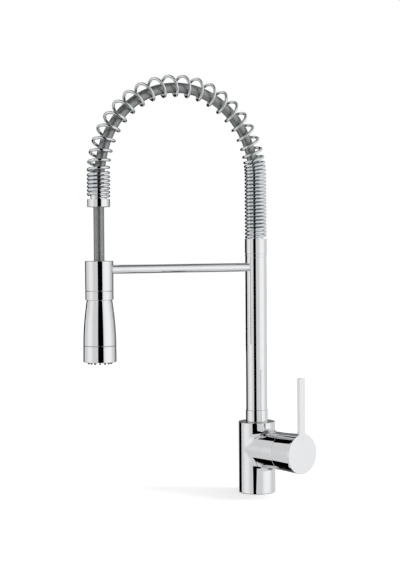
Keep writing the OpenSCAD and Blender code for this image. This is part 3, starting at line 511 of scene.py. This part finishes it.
tube = turned("column", softened([
    (TUBE_BORE, Z_TUBE), (TUBE_R, Z_TUBE, 0.3), (TUBE_R, Z_BAND, 0.25), (TUBE_BORE, Z_BAND)]), chrome)
to_arm = Matrix.Translation((-9, 0, ARM_Z)) @ Matrix.Rotation(math.radians(-90), 4, "Y")
tube = bored(tube, [(PEG_HOLE_R, 6, to_arm)])
band = turned("band", softened([
    (HEAD_BORE, Z_BAND), (GROOVE_R, Z_BAND), (GROOVE_R, Z_BAND + GROOVE_H), (BAND_R, Z_BAND + GROOVE_H, 0.15),
    (BAND_R, Z_FERRULE - GROOVE_H, 0.15), (GROOVE_R, Z_FERRULE - GROOVE_H), (GROOVE_R, Z_FERRULE),
    (HEAD_BORE, Z_FERRULE)]), chrome)
ferrule = turned("ferrule", softened([
    (HEAD_BORE, Z_FERRULE), (FERRULE_R, Z_FERRULE, 0.4), (FERRULE_R, Z_SPRING, 0.4), (NECK_R, Z_SPRING),
    (NECK_R, NECK_TOP, 0.6), (HOSE_WAY_R, NECK_TOP), (HOSE_WAY_R, HEAD_TOP), (HEAD_BORE, HEAD_TOP)]), chrome)
for piece, node in ((collar, "column_collar"), (tube, "column_tube"), (band, "column_band"),
                    (ferrule, "spring_ferrule")):
    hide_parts(node)
    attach(piece, "neck")

# ---- Cross arm ----
# A solid chromed rod. Both ends are hollowed to sit on the column and the holder, and a spigot at each
# end is soldered into them.
REACH, ARM_R, HOLDER_R = 225.1, 5.45, 17.2
PEG_R, PEG_L, SOLDER = 3.5, 5.8, 0.03


def arm_rows():
    """Rings from the column's spigot to the holder's, the saddles following the round walls they sit on."""
    turns = [2 * math.pi * i / 72 for i in range(72)]

    def ring(r, wall_r, centre_x, towards, shift=0.0):
        return [(centre_x + towards * (math.sqrt(wall_r ** 2 - (r * math.sin(t)) ** 2) + SOLDER) + shift,
                 r * math.sin(t), ARM_Z + r * math.cos(t)) for t in turns]

    def flat(r, x):
        return [(x, r * math.sin(t), ARM_Z + r * math.cos(t)) for t in turns]

    near, far = -TUBE_R + PEG_L, -REACH + HOLDER_R - PEG_L
    return [flat(0, near), flat(PEG_R, near), ring(PEG_R, TUBE_R, 0, -1), ring(ARM_R, TUBE_R, 0, -1),
            ring(ARM_R, TUBE_R, 0, -1, -HOLD), ring(ARM_R, HOLDER_R, -REACH, 1, HOLD),
            ring(ARM_R, HOLDER_R, -REACH, 1), ring(PEG_R, HOLDER_R, -REACH, 1), flat(PEG_R, far), flat(0, far)]


arm = build("cross_arm", [(arm_rows(), True)], chrome)
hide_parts("arm_rod")
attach(arm, "neck")

# ---- Spray holder ----
# A turned brass ring with a plastic bush in its top. The spray head's collar docks in it from below.
Z_HOLDER, Z_HOLDER_TOP, Z_DOCK_TOP, DOCK_R, HOLDER_BUSH_R = 267.7, 304.0, 286.2, 12, 9.55
at_spray = Matrix.Translation((-REACH, 0, 0))
holder = turned("holder", softened([
    (DOCK_R, Z_HOLDER), (HOLDER_R, Z_HOLDER, 0.4), (HOLDER_R, Z_HOLDER_TOP, 0.8),
    (HOLDER_BUSH_R, Z_HOLDER_TOP), (HOLDER_BUSH_R, Z_DOCK_TOP), (DOCK_R, Z_DOCK_TOP)]),
    chrome, place=at_spray)
to_arm = Matrix.Translation((-REACH + 11, 0, ARM_Z)) @ Matrix.Rotation(math.radians(90), 4, "Y")
holder = bored(holder, [(PEG_HOLE_R, 7, to_arm)])
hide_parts("spray_holder")
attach(holder, "neck")

# ---- Spring ----
# One length of hard drawn steel wire, coiled close at both ends and open over the crown, then chrome
# plated. It stands on the ferrule, follows the arch and ends on the collar above the spray head.
ARCH_R, Z_ARCH, COLUMN_LEG, Z_END_COLLAR = REACH / 2, 410.0, 79.8, 379.2
WIRE_R, COIL_R, COIL_START = 1.85, 12.4, math.radians(137)
CLOSE_PITCH, OPEN_PITCH = 4.66, 18.7
CLOSE_LEN, CLOSE_END, OPENING, CLOSING = 96.5, 29, 26, 33        # close coils at both ends, and how they open
S_OVER = COLUMN_LEG + math.pi * ARCH_R
S_END = S_OVER + Z_ARCH - Z_END_COLLAR


def arch(s):
    """The point on the arch's centre line s mm from the spring's foot, and the outward direction there."""
    turn = min(max((s - COLUMN_LEG) / ARCH_R, 0), math.pi)
    out = Vector((math.cos(turn), 0, math.sin(turn)))
    leg = min(s - COLUMN_LEG, 0) - max(s - S_OVER, 0)
    return Vector((-ARCH_R, 0, Z_ARCH + leg)) + out * ARCH_R, out


def coil_pitch(s):
    """Pitch of the coils at s: close at both ends, open in between."""
    opened = min(1 - math.exp(-max(s - CLOSE_LEN, 0) / OPENING),
                 1 - math.exp(-max(S_END - CLOSE_END - s, 0) / CLOSING))
    return CLOSE_PITCH + (OPEN_PITCH - CLOSE_PITCH) * opened


COARSE, FINE = 12, 4                     # steps of the source's coil to a turn, and points to a step
feet = [WIRE_R + 0.1]
while feet[-1] <= S_END - WIRE_R - 0.1:
    feet.append(feet[-1] + coil_pitch(feet[-1]) / COARSE)
feet.pop()
path, outward, turned_by = [], [], []
for i in range((len(feet) - 1) * FINE + 1):
    k, share = divmod(i, FINE)
    s = feet[k] if not share else feet[k] + (feet[k + 1] - feet[k]) * share / FINE
    centre, out = arch(s)
    path.append(centre * MM)
    outward.append(out)
    turned_by.append(COIL_START + 2 * math.pi * i / (COARSE * FINE))


def node_modifier(name, inputs):
    """A Geometry Nodes tree with named inputs, a group input and a group output."""
    tree = bpy.data.node_groups.new(name, "GeometryNodeTree")
    tree.interface.new_socket("Geometry", in_out="INPUT", socket_type="NodeSocketGeometry")
    for label, kind in inputs:
        tree.interface.new_socket(label, in_out="INPUT", socket_type=kind)
    tree.interface.new_socket("Geometry", in_out="OUTPUT", socket_type="NodeSocketGeometry")
    return tree, tree.nodes.new("NodeGroupInput"), tree.nodes.new("NodeGroupOutput")


def made_by(tree, piece, values):
    """Runs a Geometry Nodes tree on a piece with the given inputs and keeps the plain mesh it makes."""
    modifier = piece.modifiers.new(tree.name, "NODES")
    modifier.node_group = tree
    sockets = {item.name: item.identifier for item in tree.interface.items_tree if item.in_out == "INPUT"}
    for label, value in values.items():
        modifier[sockets[label]] = value
    return applied(piece)


def point_line(name, points, attributes):
    """A line of mesh points with attributes, as the start of a node tree."""
    mesh = bpy.data.meshes.new(name)
    mesh.from_pydata(points, [(i, i + 1) for i in range(len(points) - 1)], [])
    for label, kind, values in attributes:
        attribute = mesh.attributes.new(label, kind, "POINT")
        if kind == "FLOAT_VECTOR":
            attribute.data.foreach_set("vector", [c for v in values for c in v])
        else:
            attribute.data.foreach_set("value", values)
    piece = bpy.data.objects.new(name, mesh)
    scene.collection.objects.link(piece)
    return piece


tree, given, result = node_modifier("coil_along_arch", [
    ("Coil Radius", "NodeSocketFloat"), ("Wire Radius", "NodeSocketFloat"), ("Wire Sides", "NodeSocketInt"),
    ("Finish", "NodeSocketMaterial")])
out = put(tree, "GeometryNodeInputNamedAttribute", {"Name": "outward"}, data_type="FLOAT_VECTOR")
turn = put(tree, "GeometryNodeInputNamedAttribute", {"Name": "turn"}, data_type="FLOAT")
cosine = put(tree, "ShaderNodeMath", {0: turn.outputs["Attribute"]}, operation="COSINE")
sine = put(tree, "ShaderNodeMath", {0: turn.outputs["Attribute"]}, operation="SINE")
lean_out = put(tree, "ShaderNodeVectorMath", {0: out.outputs["Attribute"], "Scale": cosine.outputs[0]},
               operation="SCALE")
lean_side = put(tree, "ShaderNodeCombineXYZ", {1: sine.outputs[0]})
lean = put(tree, "ShaderNodeVectorMath", {0: lean_out.outputs[0], 1: lean_side.outputs[0]}, operation="ADD")
offset = put(tree, "ShaderNodeVectorMath", {0: lean.outputs[0], "Scale": given.outputs["Coil Radius"]},
             operation="SCALE")
wound = put(tree, "GeometryNodeSetPosition", {"Geometry": given.outputs["Geometry"],
                                              "Offset": offset.outputs[0]})
line = put(tree, "GeometryNodeMeshToCurve", {"Mesh": wound.outputs[0]})
section = put(tree, "GeometryNodeCurvePrimitiveCircle", {"Resolution": given.outputs["Wire Sides"],
                                                         "Radius": given.outputs["Wire Radius"]})
skin = put(tree, "GeometryNodeCurveToMesh", {"Curve": line.outputs[0], "Profile Curve": section.outputs[0],
                                             "Fill Caps": True})
real = put(tree, "GeometryNodeRealizeInstances", {"Geometry": skin.outputs[0]})
shade = put(tree, "GeometryNodeSetShadeSmooth", {"Geometry": real.outputs[0]})
coated = put(tree, "GeometryNodeSetMaterial", {"Geometry": shade.outputs[0],
                                               "Material": given.outputs["Finish"]})
tree.links.new(coated.outputs[0], result.inputs[0])

spring_plate = polished_plate("spring_plate", (0.56, 0.585, 0.595), (0.66, 0.685, 0.70), 0.02, 0.08, wave=0.02)
spring = point_line("coil_spring", path, [("outward", "FLOAT_VECTOR", outward), ("turn", "FLOAT", turned_by)])
spring = made_by(tree, spring, {"Coil Radius": COIL_R * MM, "Wire Radius": WIRE_R * MM, "Wire Sides": 12,
                                "Finish": spring_plate})
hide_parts("spring")
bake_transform(spring)

# ---- Hose ----
# A rubber hose in a close grey braided sleeve. It leaves the ferrule, lies towards the inside of the
# arch and runs down through the collar and the holder's bush into the spray head.
HOSE_R, Z_HOSE, Z_HOSE_END, HOSE_SHIFT = 6.5, 327.8, 267.5, 2.5
KEPT_FOOT, DRIFT_FOOT, KEPT_END, DRIFT_END = 15.8, 45, 14.8, 40  # central at both ends, then drifting inwards
STRANDS = 48


def eased(x):
    """Smooth step from 0 to 1."""
    t = min(max(x, 0), 1)
    return t * t * (3 - 2 * t)


def hose_piece():
    """A tube along the arch with a UV map: round it and along it, both in centimetres."""
    start, end = Z_HOSE - Z_SPRING, S_OVER + Z_ARCH - Z_HOSE_END
    count, sides = 220, 40
    points, centres = [], []
    for i in range(count + 1):
        s = start + (end - start) * i / count
        centre, out = arch(s)
        centre -= out * (HOSE_SHIFT * eased((s - KEPT_FOOT) / DRIFT_FOOT)
                         * eased((S_END - KEPT_END - s) / DRIFT_END))
        centres.append(centre)
        points.append([centre + out * (HOSE_R * math.cos(a)) - Vector((0, 1, 0)) * (HOSE_R * math.sin(a))
                       for a in [2 * math.pi * k / sides for k in range(sides)]])
    rows = [[centres[0]] * sides] + points + [[centres[-1]] * sides]
    piece = build("spray_hose", [(rows, True)], None)
    mesh = piece.data
    uv = mesh.uv_layers.new(name="sleeve")
    spots = {}
    for i, row in enumerate(points):
        for k, p in enumerate(row):
            spots[tuple(round(c * MM, 7) for c in p)] = (k, i)
    step = (end - start) / count / 10
    around = 2 * math.pi * HOSE_R / 10 / sides
    for face in mesh.polygons:
        found = [spots.get(tuple(round(c, 7) for c in mesh.vertices[v].co)) for v in face.vertices]
        wraps = {f[0] for f in found if f} >= {0, sides - 1}
        for loop, spot in zip(face.loop_indices, found):
            k, i = spot or (0, 0)
            uv.data[loop].uv = ((k + (sides if wraps and k == 0 else 0)) * around, i * step)
    return piece


sleeve = new_material("grey_sleeve")
tree = sleeve.node_tree
lay = put(tree, "ShaderNodeUVMap", uv_map="sleeve")
stretched = put(tree, "ShaderNodeMapping", {"Vector": lay.outputs[0], "Scale": (28.0, 1.4, 1.0)})
streak = put(tree, "ShaderNodeTexNoise", {"Vector": stretched.outputs[0], "Scale": 1.0, "Detail": 4.0})
split = put(tree, "ShaderNodeSeparateXYZ", {0: lay.outputs[0]})
strand_a = put(tree, "ShaderNodeMath", {0: split.outputs[0], 1: split.outputs[1]}, operation="ADD")
strand_b = put(tree, "ShaderNodeMath", {0: split.outputs[0], 1: split.outputs[1]}, operation="SUBTRACT")
waves = []
for strand in (strand_a, strand_b):
    turns = put(tree, "ShaderNodeMath", {0: strand.outputs[0], 1: STRANDS / (HOSE_R / 10)},
                operation="MULTIPLY")
    waves.append(put(tree, "ShaderNodeMath", {0: turns.outputs[0]}, operation="SINE"))
weave = put(tree, "ShaderNodeMath", {0: waves[0].outputs[0], 1: waves[1].outputs[0]}, operation="MULTIPLY")
tone = put(tree, "ShaderNodeMapRange", {"Value": streak.outputs["Fac"], "From Min": 0.3, "From Max": 0.7})
grey = put(tree, "ShaderNodeMix", {0: tone.outputs[0], 6: (0.12, 0.132, 0.128, 1),
                                   7: (0.38, 0.395, 0.388, 1)}, data_type="RGBA")
rough = put(tree, "ShaderNodeMapRange", {"Value": streak.outputs["Fac"], "To Min": 0.26, "To Max": 0.42})
bump = put(tree, "ShaderNodeBump", {"Height": weave.outputs[0], "Strength": 0.12, "Distance": 0.0002})
skin = put(tree, "ShaderNodeBsdfPrincipled", {"Base Color": grey.outputs[2], "Roughness": rough.outputs[0],
                                              "Metallic": 0.9, "Normal": bump.outputs[0]})
put(tree, "ShaderNodeOutputMaterial", {"Surface": skin.outputs[0]})
hose = hose_piece()
hose.data.materials.append(sleeve)
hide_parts("hose")
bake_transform(hose)

# ---- Collar at the spring's lower end ----
# A turned, plated ring crimped on the hose. The last coil rests on it and its spigot keeps the coils
# centred; it travels down with the hose.
END_BORE, END_R, Z_END_LOW, Z_END_NECK = 6.55, 13.85, 369.7, 390.2
end_collar = turned("end_collar", softened([
    (END_BORE, Z_END_LOW), (END_R, Z_END_LOW, 0.4), (END_R, Z_END_COLLAR, 0.4), (NECK_R, Z_END_COLLAR),
    (NECK_R, Z_END_NECK, 0.5), (END_BORE, Z_END_NECK)]), chrome, place=at_spray)
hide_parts("spring_end_collar")
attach(end_collar, "hose_end")

# ---- Spray head ----
# Three plated pieces: the docking ring, the waisted shell screwed to it, and the ring below the seam,
# which turns by hand from stream to spray.
Z_RING, Z_SHELL, Z_SEAM, Z_FACE = 267.4, 256.7, 200.9, 180.8
DOCK_BORE, SCREW_R, SCREW_L, DOCK_RING_R, PLUG_R, PLUG_L = 9.8, 12.55, 8.7, 17.15, 11.7, 17
SHELL_TOP_R, SHELL_FLARE, SHELL_H, SHELL_WALL, SHELL_BORE = 15.5, 4.6, 55.8, 2.2, 12.6
SHELL_EDGE, SEAM_EDGE, SEAM_BORE, SEAM_DEEP = 0.4, 0.35, 17.4, 7.3
FACE_R, FACE_IN, FACE_LIP, RING_BORE, SEAM_GAP = 20.35, 16.6, 1.2, 17.8, 0.3
dock = turned("docking_ring", softened([
    (DOCK_BORE, Z_SHELL - SCREW_L), (SCREW_R, Z_SHELL - SCREW_L), (SCREW_R, Z_SHELL),
    (DOCK_RING_R, Z_SHELL, 0.5), (DOCK_RING_R, Z_RING, 0.5), (PLUG_R, Z_RING), (PLUG_R, Z_RING + PLUG_L, 1.0),
    (DOCK_BORE, Z_RING + PLUG_L)]), chrome, place=at_spray)


def bell(share, wall=0):
    """A point of the shell at a share of its length below the docking ring, wall mm inside its outer face."""
    r = SHELL_TOP_R + SHELL_FLARE * math.sin(math.radians(90 * share ** 0.92)) - wall
    return r, Z_SHELL - SHELL_H * share


top_r, seam_r = SHELL_TOP_R - SHELL_EDGE, SHELL_TOP_R + SHELL_FLARE
top_edge = arc((top_r, Z_SHELL), (SHELL_TOP_R, Z_SHELL - SHELL_EDGE), (top_r, Z_SHELL - SHELL_EDGE))
seam_edge = arc((seam_r, Z_SEAM + SEAM_EDGE), (seam_r - SEAM_EDGE, Z_SEAM),
                (seam_r - SEAM_EDGE, Z_SEAM + SEAM_EDGE))
shell = turned("shell", (
    [(SHELL_BORE, Z_SHELL)] + [tuple(p) for p in top_edge] + [bell(i / 40) for i in range(1, 40)]
    + [tuple(p) for p in seam_edge] + [(SEAM_BORE, Z_SEAM), (SEAM_BORE, Z_SEAM + SEAM_DEEP)]
    + [bell(i / 40, SHELL_WALL) for i in range(34, 7, -1)] + [(SHELL_BORE, Z_SHELL - SCREW_L)]),
    chrome, place=at_spray)
face_ring = turned("face_ring", softened([
    (FACE_IN, Z_FACE), (FACE_R, Z_FACE, 0.8), (seam_r, Z_SEAM - SEAM_GAP, 0.4),
    (RING_BORE, Z_SEAM - SEAM_GAP), (RING_BORE, Z_FACE + FACE_LIP), (FACE_IN, Z_FACE + FACE_LIP)]),
    chrome, place=at_spray)
for piece, node, body in ((dock, "spray_collar", "spray_head"), (shell, "spray_shell", "spray_head"),
                          (face_ring, "spray_ring", "spray_face")):
    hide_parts(node)
    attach(piece, body)

# ---- Nozzles ----
# A black silicone mat behind the face plate, with soft round nubs that stand out through it in three
# rings; scale is rubbed off them with a thumb.
NOZZLE_RINGS, FIRST_NOZZLE = ((14.2, 15), (10.6, 10), (7.0, 5)), math.radians(-115)
NUB_R, NUB_TOP, NUB_LOW = 1.2, 186.5, Z_FACE - 2.45
MAT_IN, MAT_OUT, MAT_LOW, MAT_TOP = 3.5, 16.5, 186.0, 188.0


def grain_bump(tree, place, scale, strength):
    """A fine moulded grain for plastics and rubber."""
    grain = put(tree, "ShaderNodeTexVoronoi", {"Vector": place, "Scale": scale}, feature="SMOOTH_F1")
    return put(tree, "ShaderNodeBump", {"Height": grain.outputs["Distance"], "Strength": strength,
                                        "Distance": 0.0003}).outputs[0]


def moulded(name, dark, light, smooth, rough, grain, strength):
    """Moulded rubber or plastic: mottled between two tones, with a grain and an uneven sheen."""
    material = new_material(name)
    tree = material.node_tree
    place = put(tree, "ShaderNodeTexCoord").outputs["Object"]
    film = put(tree, "ShaderNodeGroup", {"Place": place, "Scale": 120.0, "Cover": 0.6}, node_tree=wiped_film)
    colour = put(tree, "ShaderNodeMix", {0: film.outputs["Film"], 6: (*dark, 1), 7: (*light, 1)},
                 data_type="RGBA")
    sheen = put(tree, "ShaderNodeMapRange", {"Value": film.outputs["Film"], "To Min": smooth, "To Max": rough})
    skin = put(tree, "ShaderNodeBsdfPrincipled", {
        "Base Color": colour.outputs[2], "Roughness": sheen.outputs[0],
        "Normal": grain_bump(tree, place, grain, strength)})
    put(tree, "ShaderNodeOutputMaterial", {"Surface": skin.outputs[0]})
    return material


nozzle_silicone = moulded("nozzle_silicone", (0.006, 0.006, 0.007), (0.016, 0.016, 0.018), 0.5, 0.7, 1800,
                          0.15)
tree, given, result = node_modifier("nozzle_rings", [
    ("Nub Radius", "NodeSocketFloat"), ("Nub Length", "NodeSocketFloat"), ("Face Height", "NodeSocketFloat"),
    ("Finish", "NodeSocketMaterial")])
tip = put(tree, "ShaderNodeMath", {0: given.outputs["Nub Radius"], 1: 0.8}, operation="MULTIPLY")
nub = put(tree, "GeometryNodeMeshCone", {
    "Vertices": 16, "Side Segments": 3, "Radius Top": given.outputs["Nub Radius"],
    "Radius Bottom": tip.outputs[0], "Depth": given.outputs["Nub Length"]})
rings = []
for radius, count in NOZZLE_RINGS:
    ring = put(tree, "GeometryNodeMeshCircle", {"Vertices": count, "Radius": radius * MM})
    spun = put(tree, "GeometryNodeTransform", {"Geometry": ring.outputs[0], "Rotation": (0, 0, FIRST_NOZZLE)})
    rings.append(spun.outputs[0])
gather = put(tree, "GeometryNodeJoinGeometry")
for ring in rings:
    tree.links.new(ring, gather.inputs[0])
stand = put(tree, "ShaderNodeCombineXYZ", {0: -REACH * MM, 2: given.outputs["Face Height"]})
placed = put(tree, "GeometryNodeTransform", {"Geometry": gather.outputs[0], "Translation": stand.outputs[0]})
nubs = put(tree, "GeometryNodeInstanceOnPoints", {"Points": placed.outputs[0],
                                                  "Instance": nub.outputs["Mesh"]})
with_mat = put(tree, "GeometryNodeJoinGeometry")
tree.links.new(nubs.outputs[0], with_mat.inputs[0])
tree.links.new(given.outputs["Geometry"], with_mat.inputs[0])
real = put(tree, "GeometryNodeRealizeInstances", {"Geometry": with_mat.outputs[0]})
coated = put(tree, "GeometryNodeSetMaterial", {"Geometry": real.outputs[0],
                                               "Material": given.outputs["Finish"]})
tree.links.new(coated.outputs[0], result.inputs[0])
mat = turned("nozzles", [(MAT_IN, MAT_LOW), (MAT_OUT, MAT_LOW), (MAT_OUT, MAT_TOP), (MAT_IN, MAT_TOP)],
             nozzle_silicone, steps=64, place=at_spray)
nozzles = made_by(tree, mat, {"Nub Radius": NUB_R * MM, "Nub Length": (NUB_TOP - NUB_LOW) * MM,
                              "Face Height": NUB_LOW * MM, "Finish": nozzle_silicone})
nozzles.data.materials.clear()
nozzles.data.materials.append(nozzle_silicone)
nozzles.data.polygons.foreach_set("material_index", [0] * len(nozzles.data.polygons))
nozzles.data.polygons.foreach_set("use_smooth", [True] * len(nozzles.data.polygons))
nozzles.data.set_sharp_from_angle(angle=math.radians(50))
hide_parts("nozzle_mat")
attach(nozzles, "spray_face")

# ---- Lever ----
# Cap, disc and blade are one zinc casting, polished and plated. The blade stands flush with the disc's
# face and runs into it with a small round; a grub screw under the cap holds the casting on its stem.
DISC_L, DISC_R, DISC_T = 83.15, 25.4, 2.5
CAP_BALL_R, CAP_IN, CAP_OUT, CAP_WIDEST, CAP_FLOOR = 28.235, 20.4, 24.0, 25.2, 78.15
STEM_R, STEM_END, BOSS_R, BOSS_L, GRUB_L = 4.05, 74.65, 8, 64.5, 70.15


def cap_profile():
    """The cap and disc as turned, from the stem's bore round to the middle of the face."""
    def ball(r):
        return PIVOT_L + math.sqrt(CAP_BALL_R ** 2 - r * r)

    bore = [(0, STEM_END), (STEM_R, STEM_END), (STEM_R, BOSS_L), (BOSS_R, BOSS_L), (BOSS_R, CAP_FLOOR),
            (CAP_IN, CAP_FLOOR)]
    inner = [(r, ball(r)) for r in [CAP_IN + (CAP_OUT - CAP_IN) * i / 6 for i in range(7)]]
    outer = softened([(CAP_OUT, ball(CAP_OUT)), (CAP_WIDEST, DISC_L - DISC_T), (DISC_R, DISC_L - DISC_T),
                      (DISC_R, DISC_L, 0.45), (0, DISC_L)])[1:]
    return bore + inner + outer


BLADE_W, BLADE_H, BLADE_T, BLADE_FILLET, BLADE_TIP = 10.0, 96.2, 5.0, 6.0, 1
BLADE_BACK, BLADE_FACE, BLADE_HOLD = 2.0, 0.3, 0.25      # roundings at the back and the face, and held loops


def blade_outline():
    """Outline of the blade with its flared root, inside the disc at its foot."""
    half, r = BLADE_W / 2, DISC_R
    side = half + BLADE_FILLET
    rise = math.sqrt((r + BLADE_FILLET) ** 2 - side ** 2)
    touch = Vector((side, rise)) * (r / (r + BLADE_FILLET))
    flare = arc(touch, (half, rise), (side, rise), steps=10)
    tip_x, tip_y = half - BLADE_TIP, BLADE_H - BLADE_TIP
    corner = arc((half, tip_y), (tip_x, BLADE_H), (tip_x, tip_y), steps=4)
    wing = [touch * 0.9] + flare + corner
    return wing + [Vector((-p.x, p.y)) for p in reversed(wing)]


def blade_piece():
    """The outline at rising heights, well rounded at the back and barely at the face, with flat ends."""
    points, n = [], len(blade_outline())
    turns = [math.pi / 2 * i / 5 for i in range(6)]
    for level, rounding, towards in ((DISC_L - BLADE_T, BLADE_BACK, 1), (DISC_L, BLADE_FACE, -1)):
        steps = [(rounding * (1 - math.sin(a)), rounding * (1 - math.cos(a))) for a in turns]
        steps = [(rounding + BLADE_HOLD, 0)] + steps + [(0, rounding + BLADE_HOLD)]
        for inset, lift in steps if towards > 0 else reversed(steps):
            points += [on_branch @ Vector((
                p.x - math.copysign(inset, p.x), p.y - (inset if p.y > BLADE_H / 2 else 0),
                level + lift * towards)) * MM for p in blade_outline()]
    faces = [(k + i, k + (i + 1) % n, k + n + (i + 1) % n, k + n + i)
             for k in range(0, len(points) - n, n) for i in range(n)]
    mesh = bpy.data.meshes.new("blade")
    mesh.from_pydata(points, [], faces + [tuple(range(n))[::-1], tuple(range(len(points) - n, len(points)))])
    return as_piece("blade", mesh, chrome)


lever = turned("lever", cap_profile(), chrome, steps=160, place=on_branch)
blade = blade_piece()
join = lever.modifiers.new("join", "BOOLEAN")
join.operation, join.solver, join.object = "UNION", "MANIFOLD", blade
lever = applied(lever)
lever.data.set_sharp_from_angle(angle=SMOOTH_UNDER)
bpy.data.objects.remove(blade)
to_stem = on_branch @ Matrix.Translation((0, -9, GRUB_L)) @ Matrix.Rotation(math.radians(90), 4, "X")
lever = bored(lever, [(2.5, 20, to_stem)])
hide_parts("handle")
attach(lever, "lever")

# ---- Inner and under-deck parts ----
# The cartridge, seals, check valve, stud, horseshoe plate and nut are plain functional parts. They keep
# the frame's own shapes and get the finish of what they are made of.


def turned_metal(name, dark, light, smooth, rough, across):
    """Turned or drawn metal: fine lines round or along it, and a thin film."""
    material = new_material(name)
    tree = material.node_tree
    place = put(tree, "ShaderNodeTexCoord").outputs["Object"]
    lines = put(tree, "ShaderNodeGroup", {"Place": place, "Across": across, "Along": 90.0},
                node_tree=drawn_lines)
    film = put(tree, "ShaderNodeGroup", {"Place": place, "Scale": 60.0, "Cover": 0.55}, node_tree=wiped_film)
    colour = put(tree, "ShaderNodeMix", {0: film.outputs["Film"], 6: (*light, 1), 7: (*dark, 1)},
                 data_type="RGBA")
    sheen = put(tree, "ShaderNodeMapRange", {"Value": lines.outputs["Lines"], "From Min": 0.3, "From Max": 0.7,
                                             "To Min": smooth, "To Max": rough})
    bump = put(tree, "ShaderNodeBump", {"Height": lines.outputs["Lines"], "Strength": 0.15,
                                        "Distance": 0.0002})
    metal = put(tree, "ShaderNodeBsdfPrincipled", {"Base Color": colour.outputs[2], "Metallic": 1.0,
                                                   "Roughness": sheen.outputs[0], "Normal": bump.outputs[0]})
    put(tree, "ShaderNodeOutputMaterial", {"Surface": metal.outputs[0]})
    return material


finishes = {
    "chrome": chrome,
    "spring_chrome": spring_plate,
    "hose_grey": sleeve,
    "nozzle_rubber": nozzle_silicone,
    "rubber": moulded("black_rubber", (0.02, 0.02, 0.02), (0.045, 0.045, 0.045), 0.5, 0.75, 1200, 0.25),
    "steel": turned_metal("stainless_steel", (0.42, 0.42, 0.42), (0.56, 0.56, 0.565), 0.18, 0.36, 2400.0),
    "brass": turned_metal("machined_brass", (0.56, 0.40, 0.16), (0.74, 0.56, 0.26), 0.16, 0.34, 2000.0),
    "white_plastic": moulded("white_acetal", (0.72, 0.71, 0.67), (0.80, 0.79, 0.76), 0.35, 0.5, 900, 0.08),
    "dark_plastic": moulded("black_plastic", (0.018, 0.018, 0.02), (0.035, 0.035, 0.038), 0.3, 0.5, 1000, 0.15),
    "blue_plastic": moulded("moulded_blue", (0.03, 0.11, 0.28), (0.05, 0.15, 0.34), 0.3, 0.48, 900, 0.1),
    "grey_plastic": moulded("moulded_grey", (0.16, 0.165, 0.17), (0.21, 0.215, 0.22), 0.25, 0.42, 900, 0.08),
    "ceramic": moulded("lapped_ceramic", (0.78, 0.78, 0.75), (0.86, 0.86, 0.84), 0.08, 0.2, 600, 0.03),
}
for part in frame["record"]["subparts"]:
    node = frame["nodes"][part["node"]]
    node.data.materials.clear()
    node.data.materials.append(finishes[part["material_slot"]])
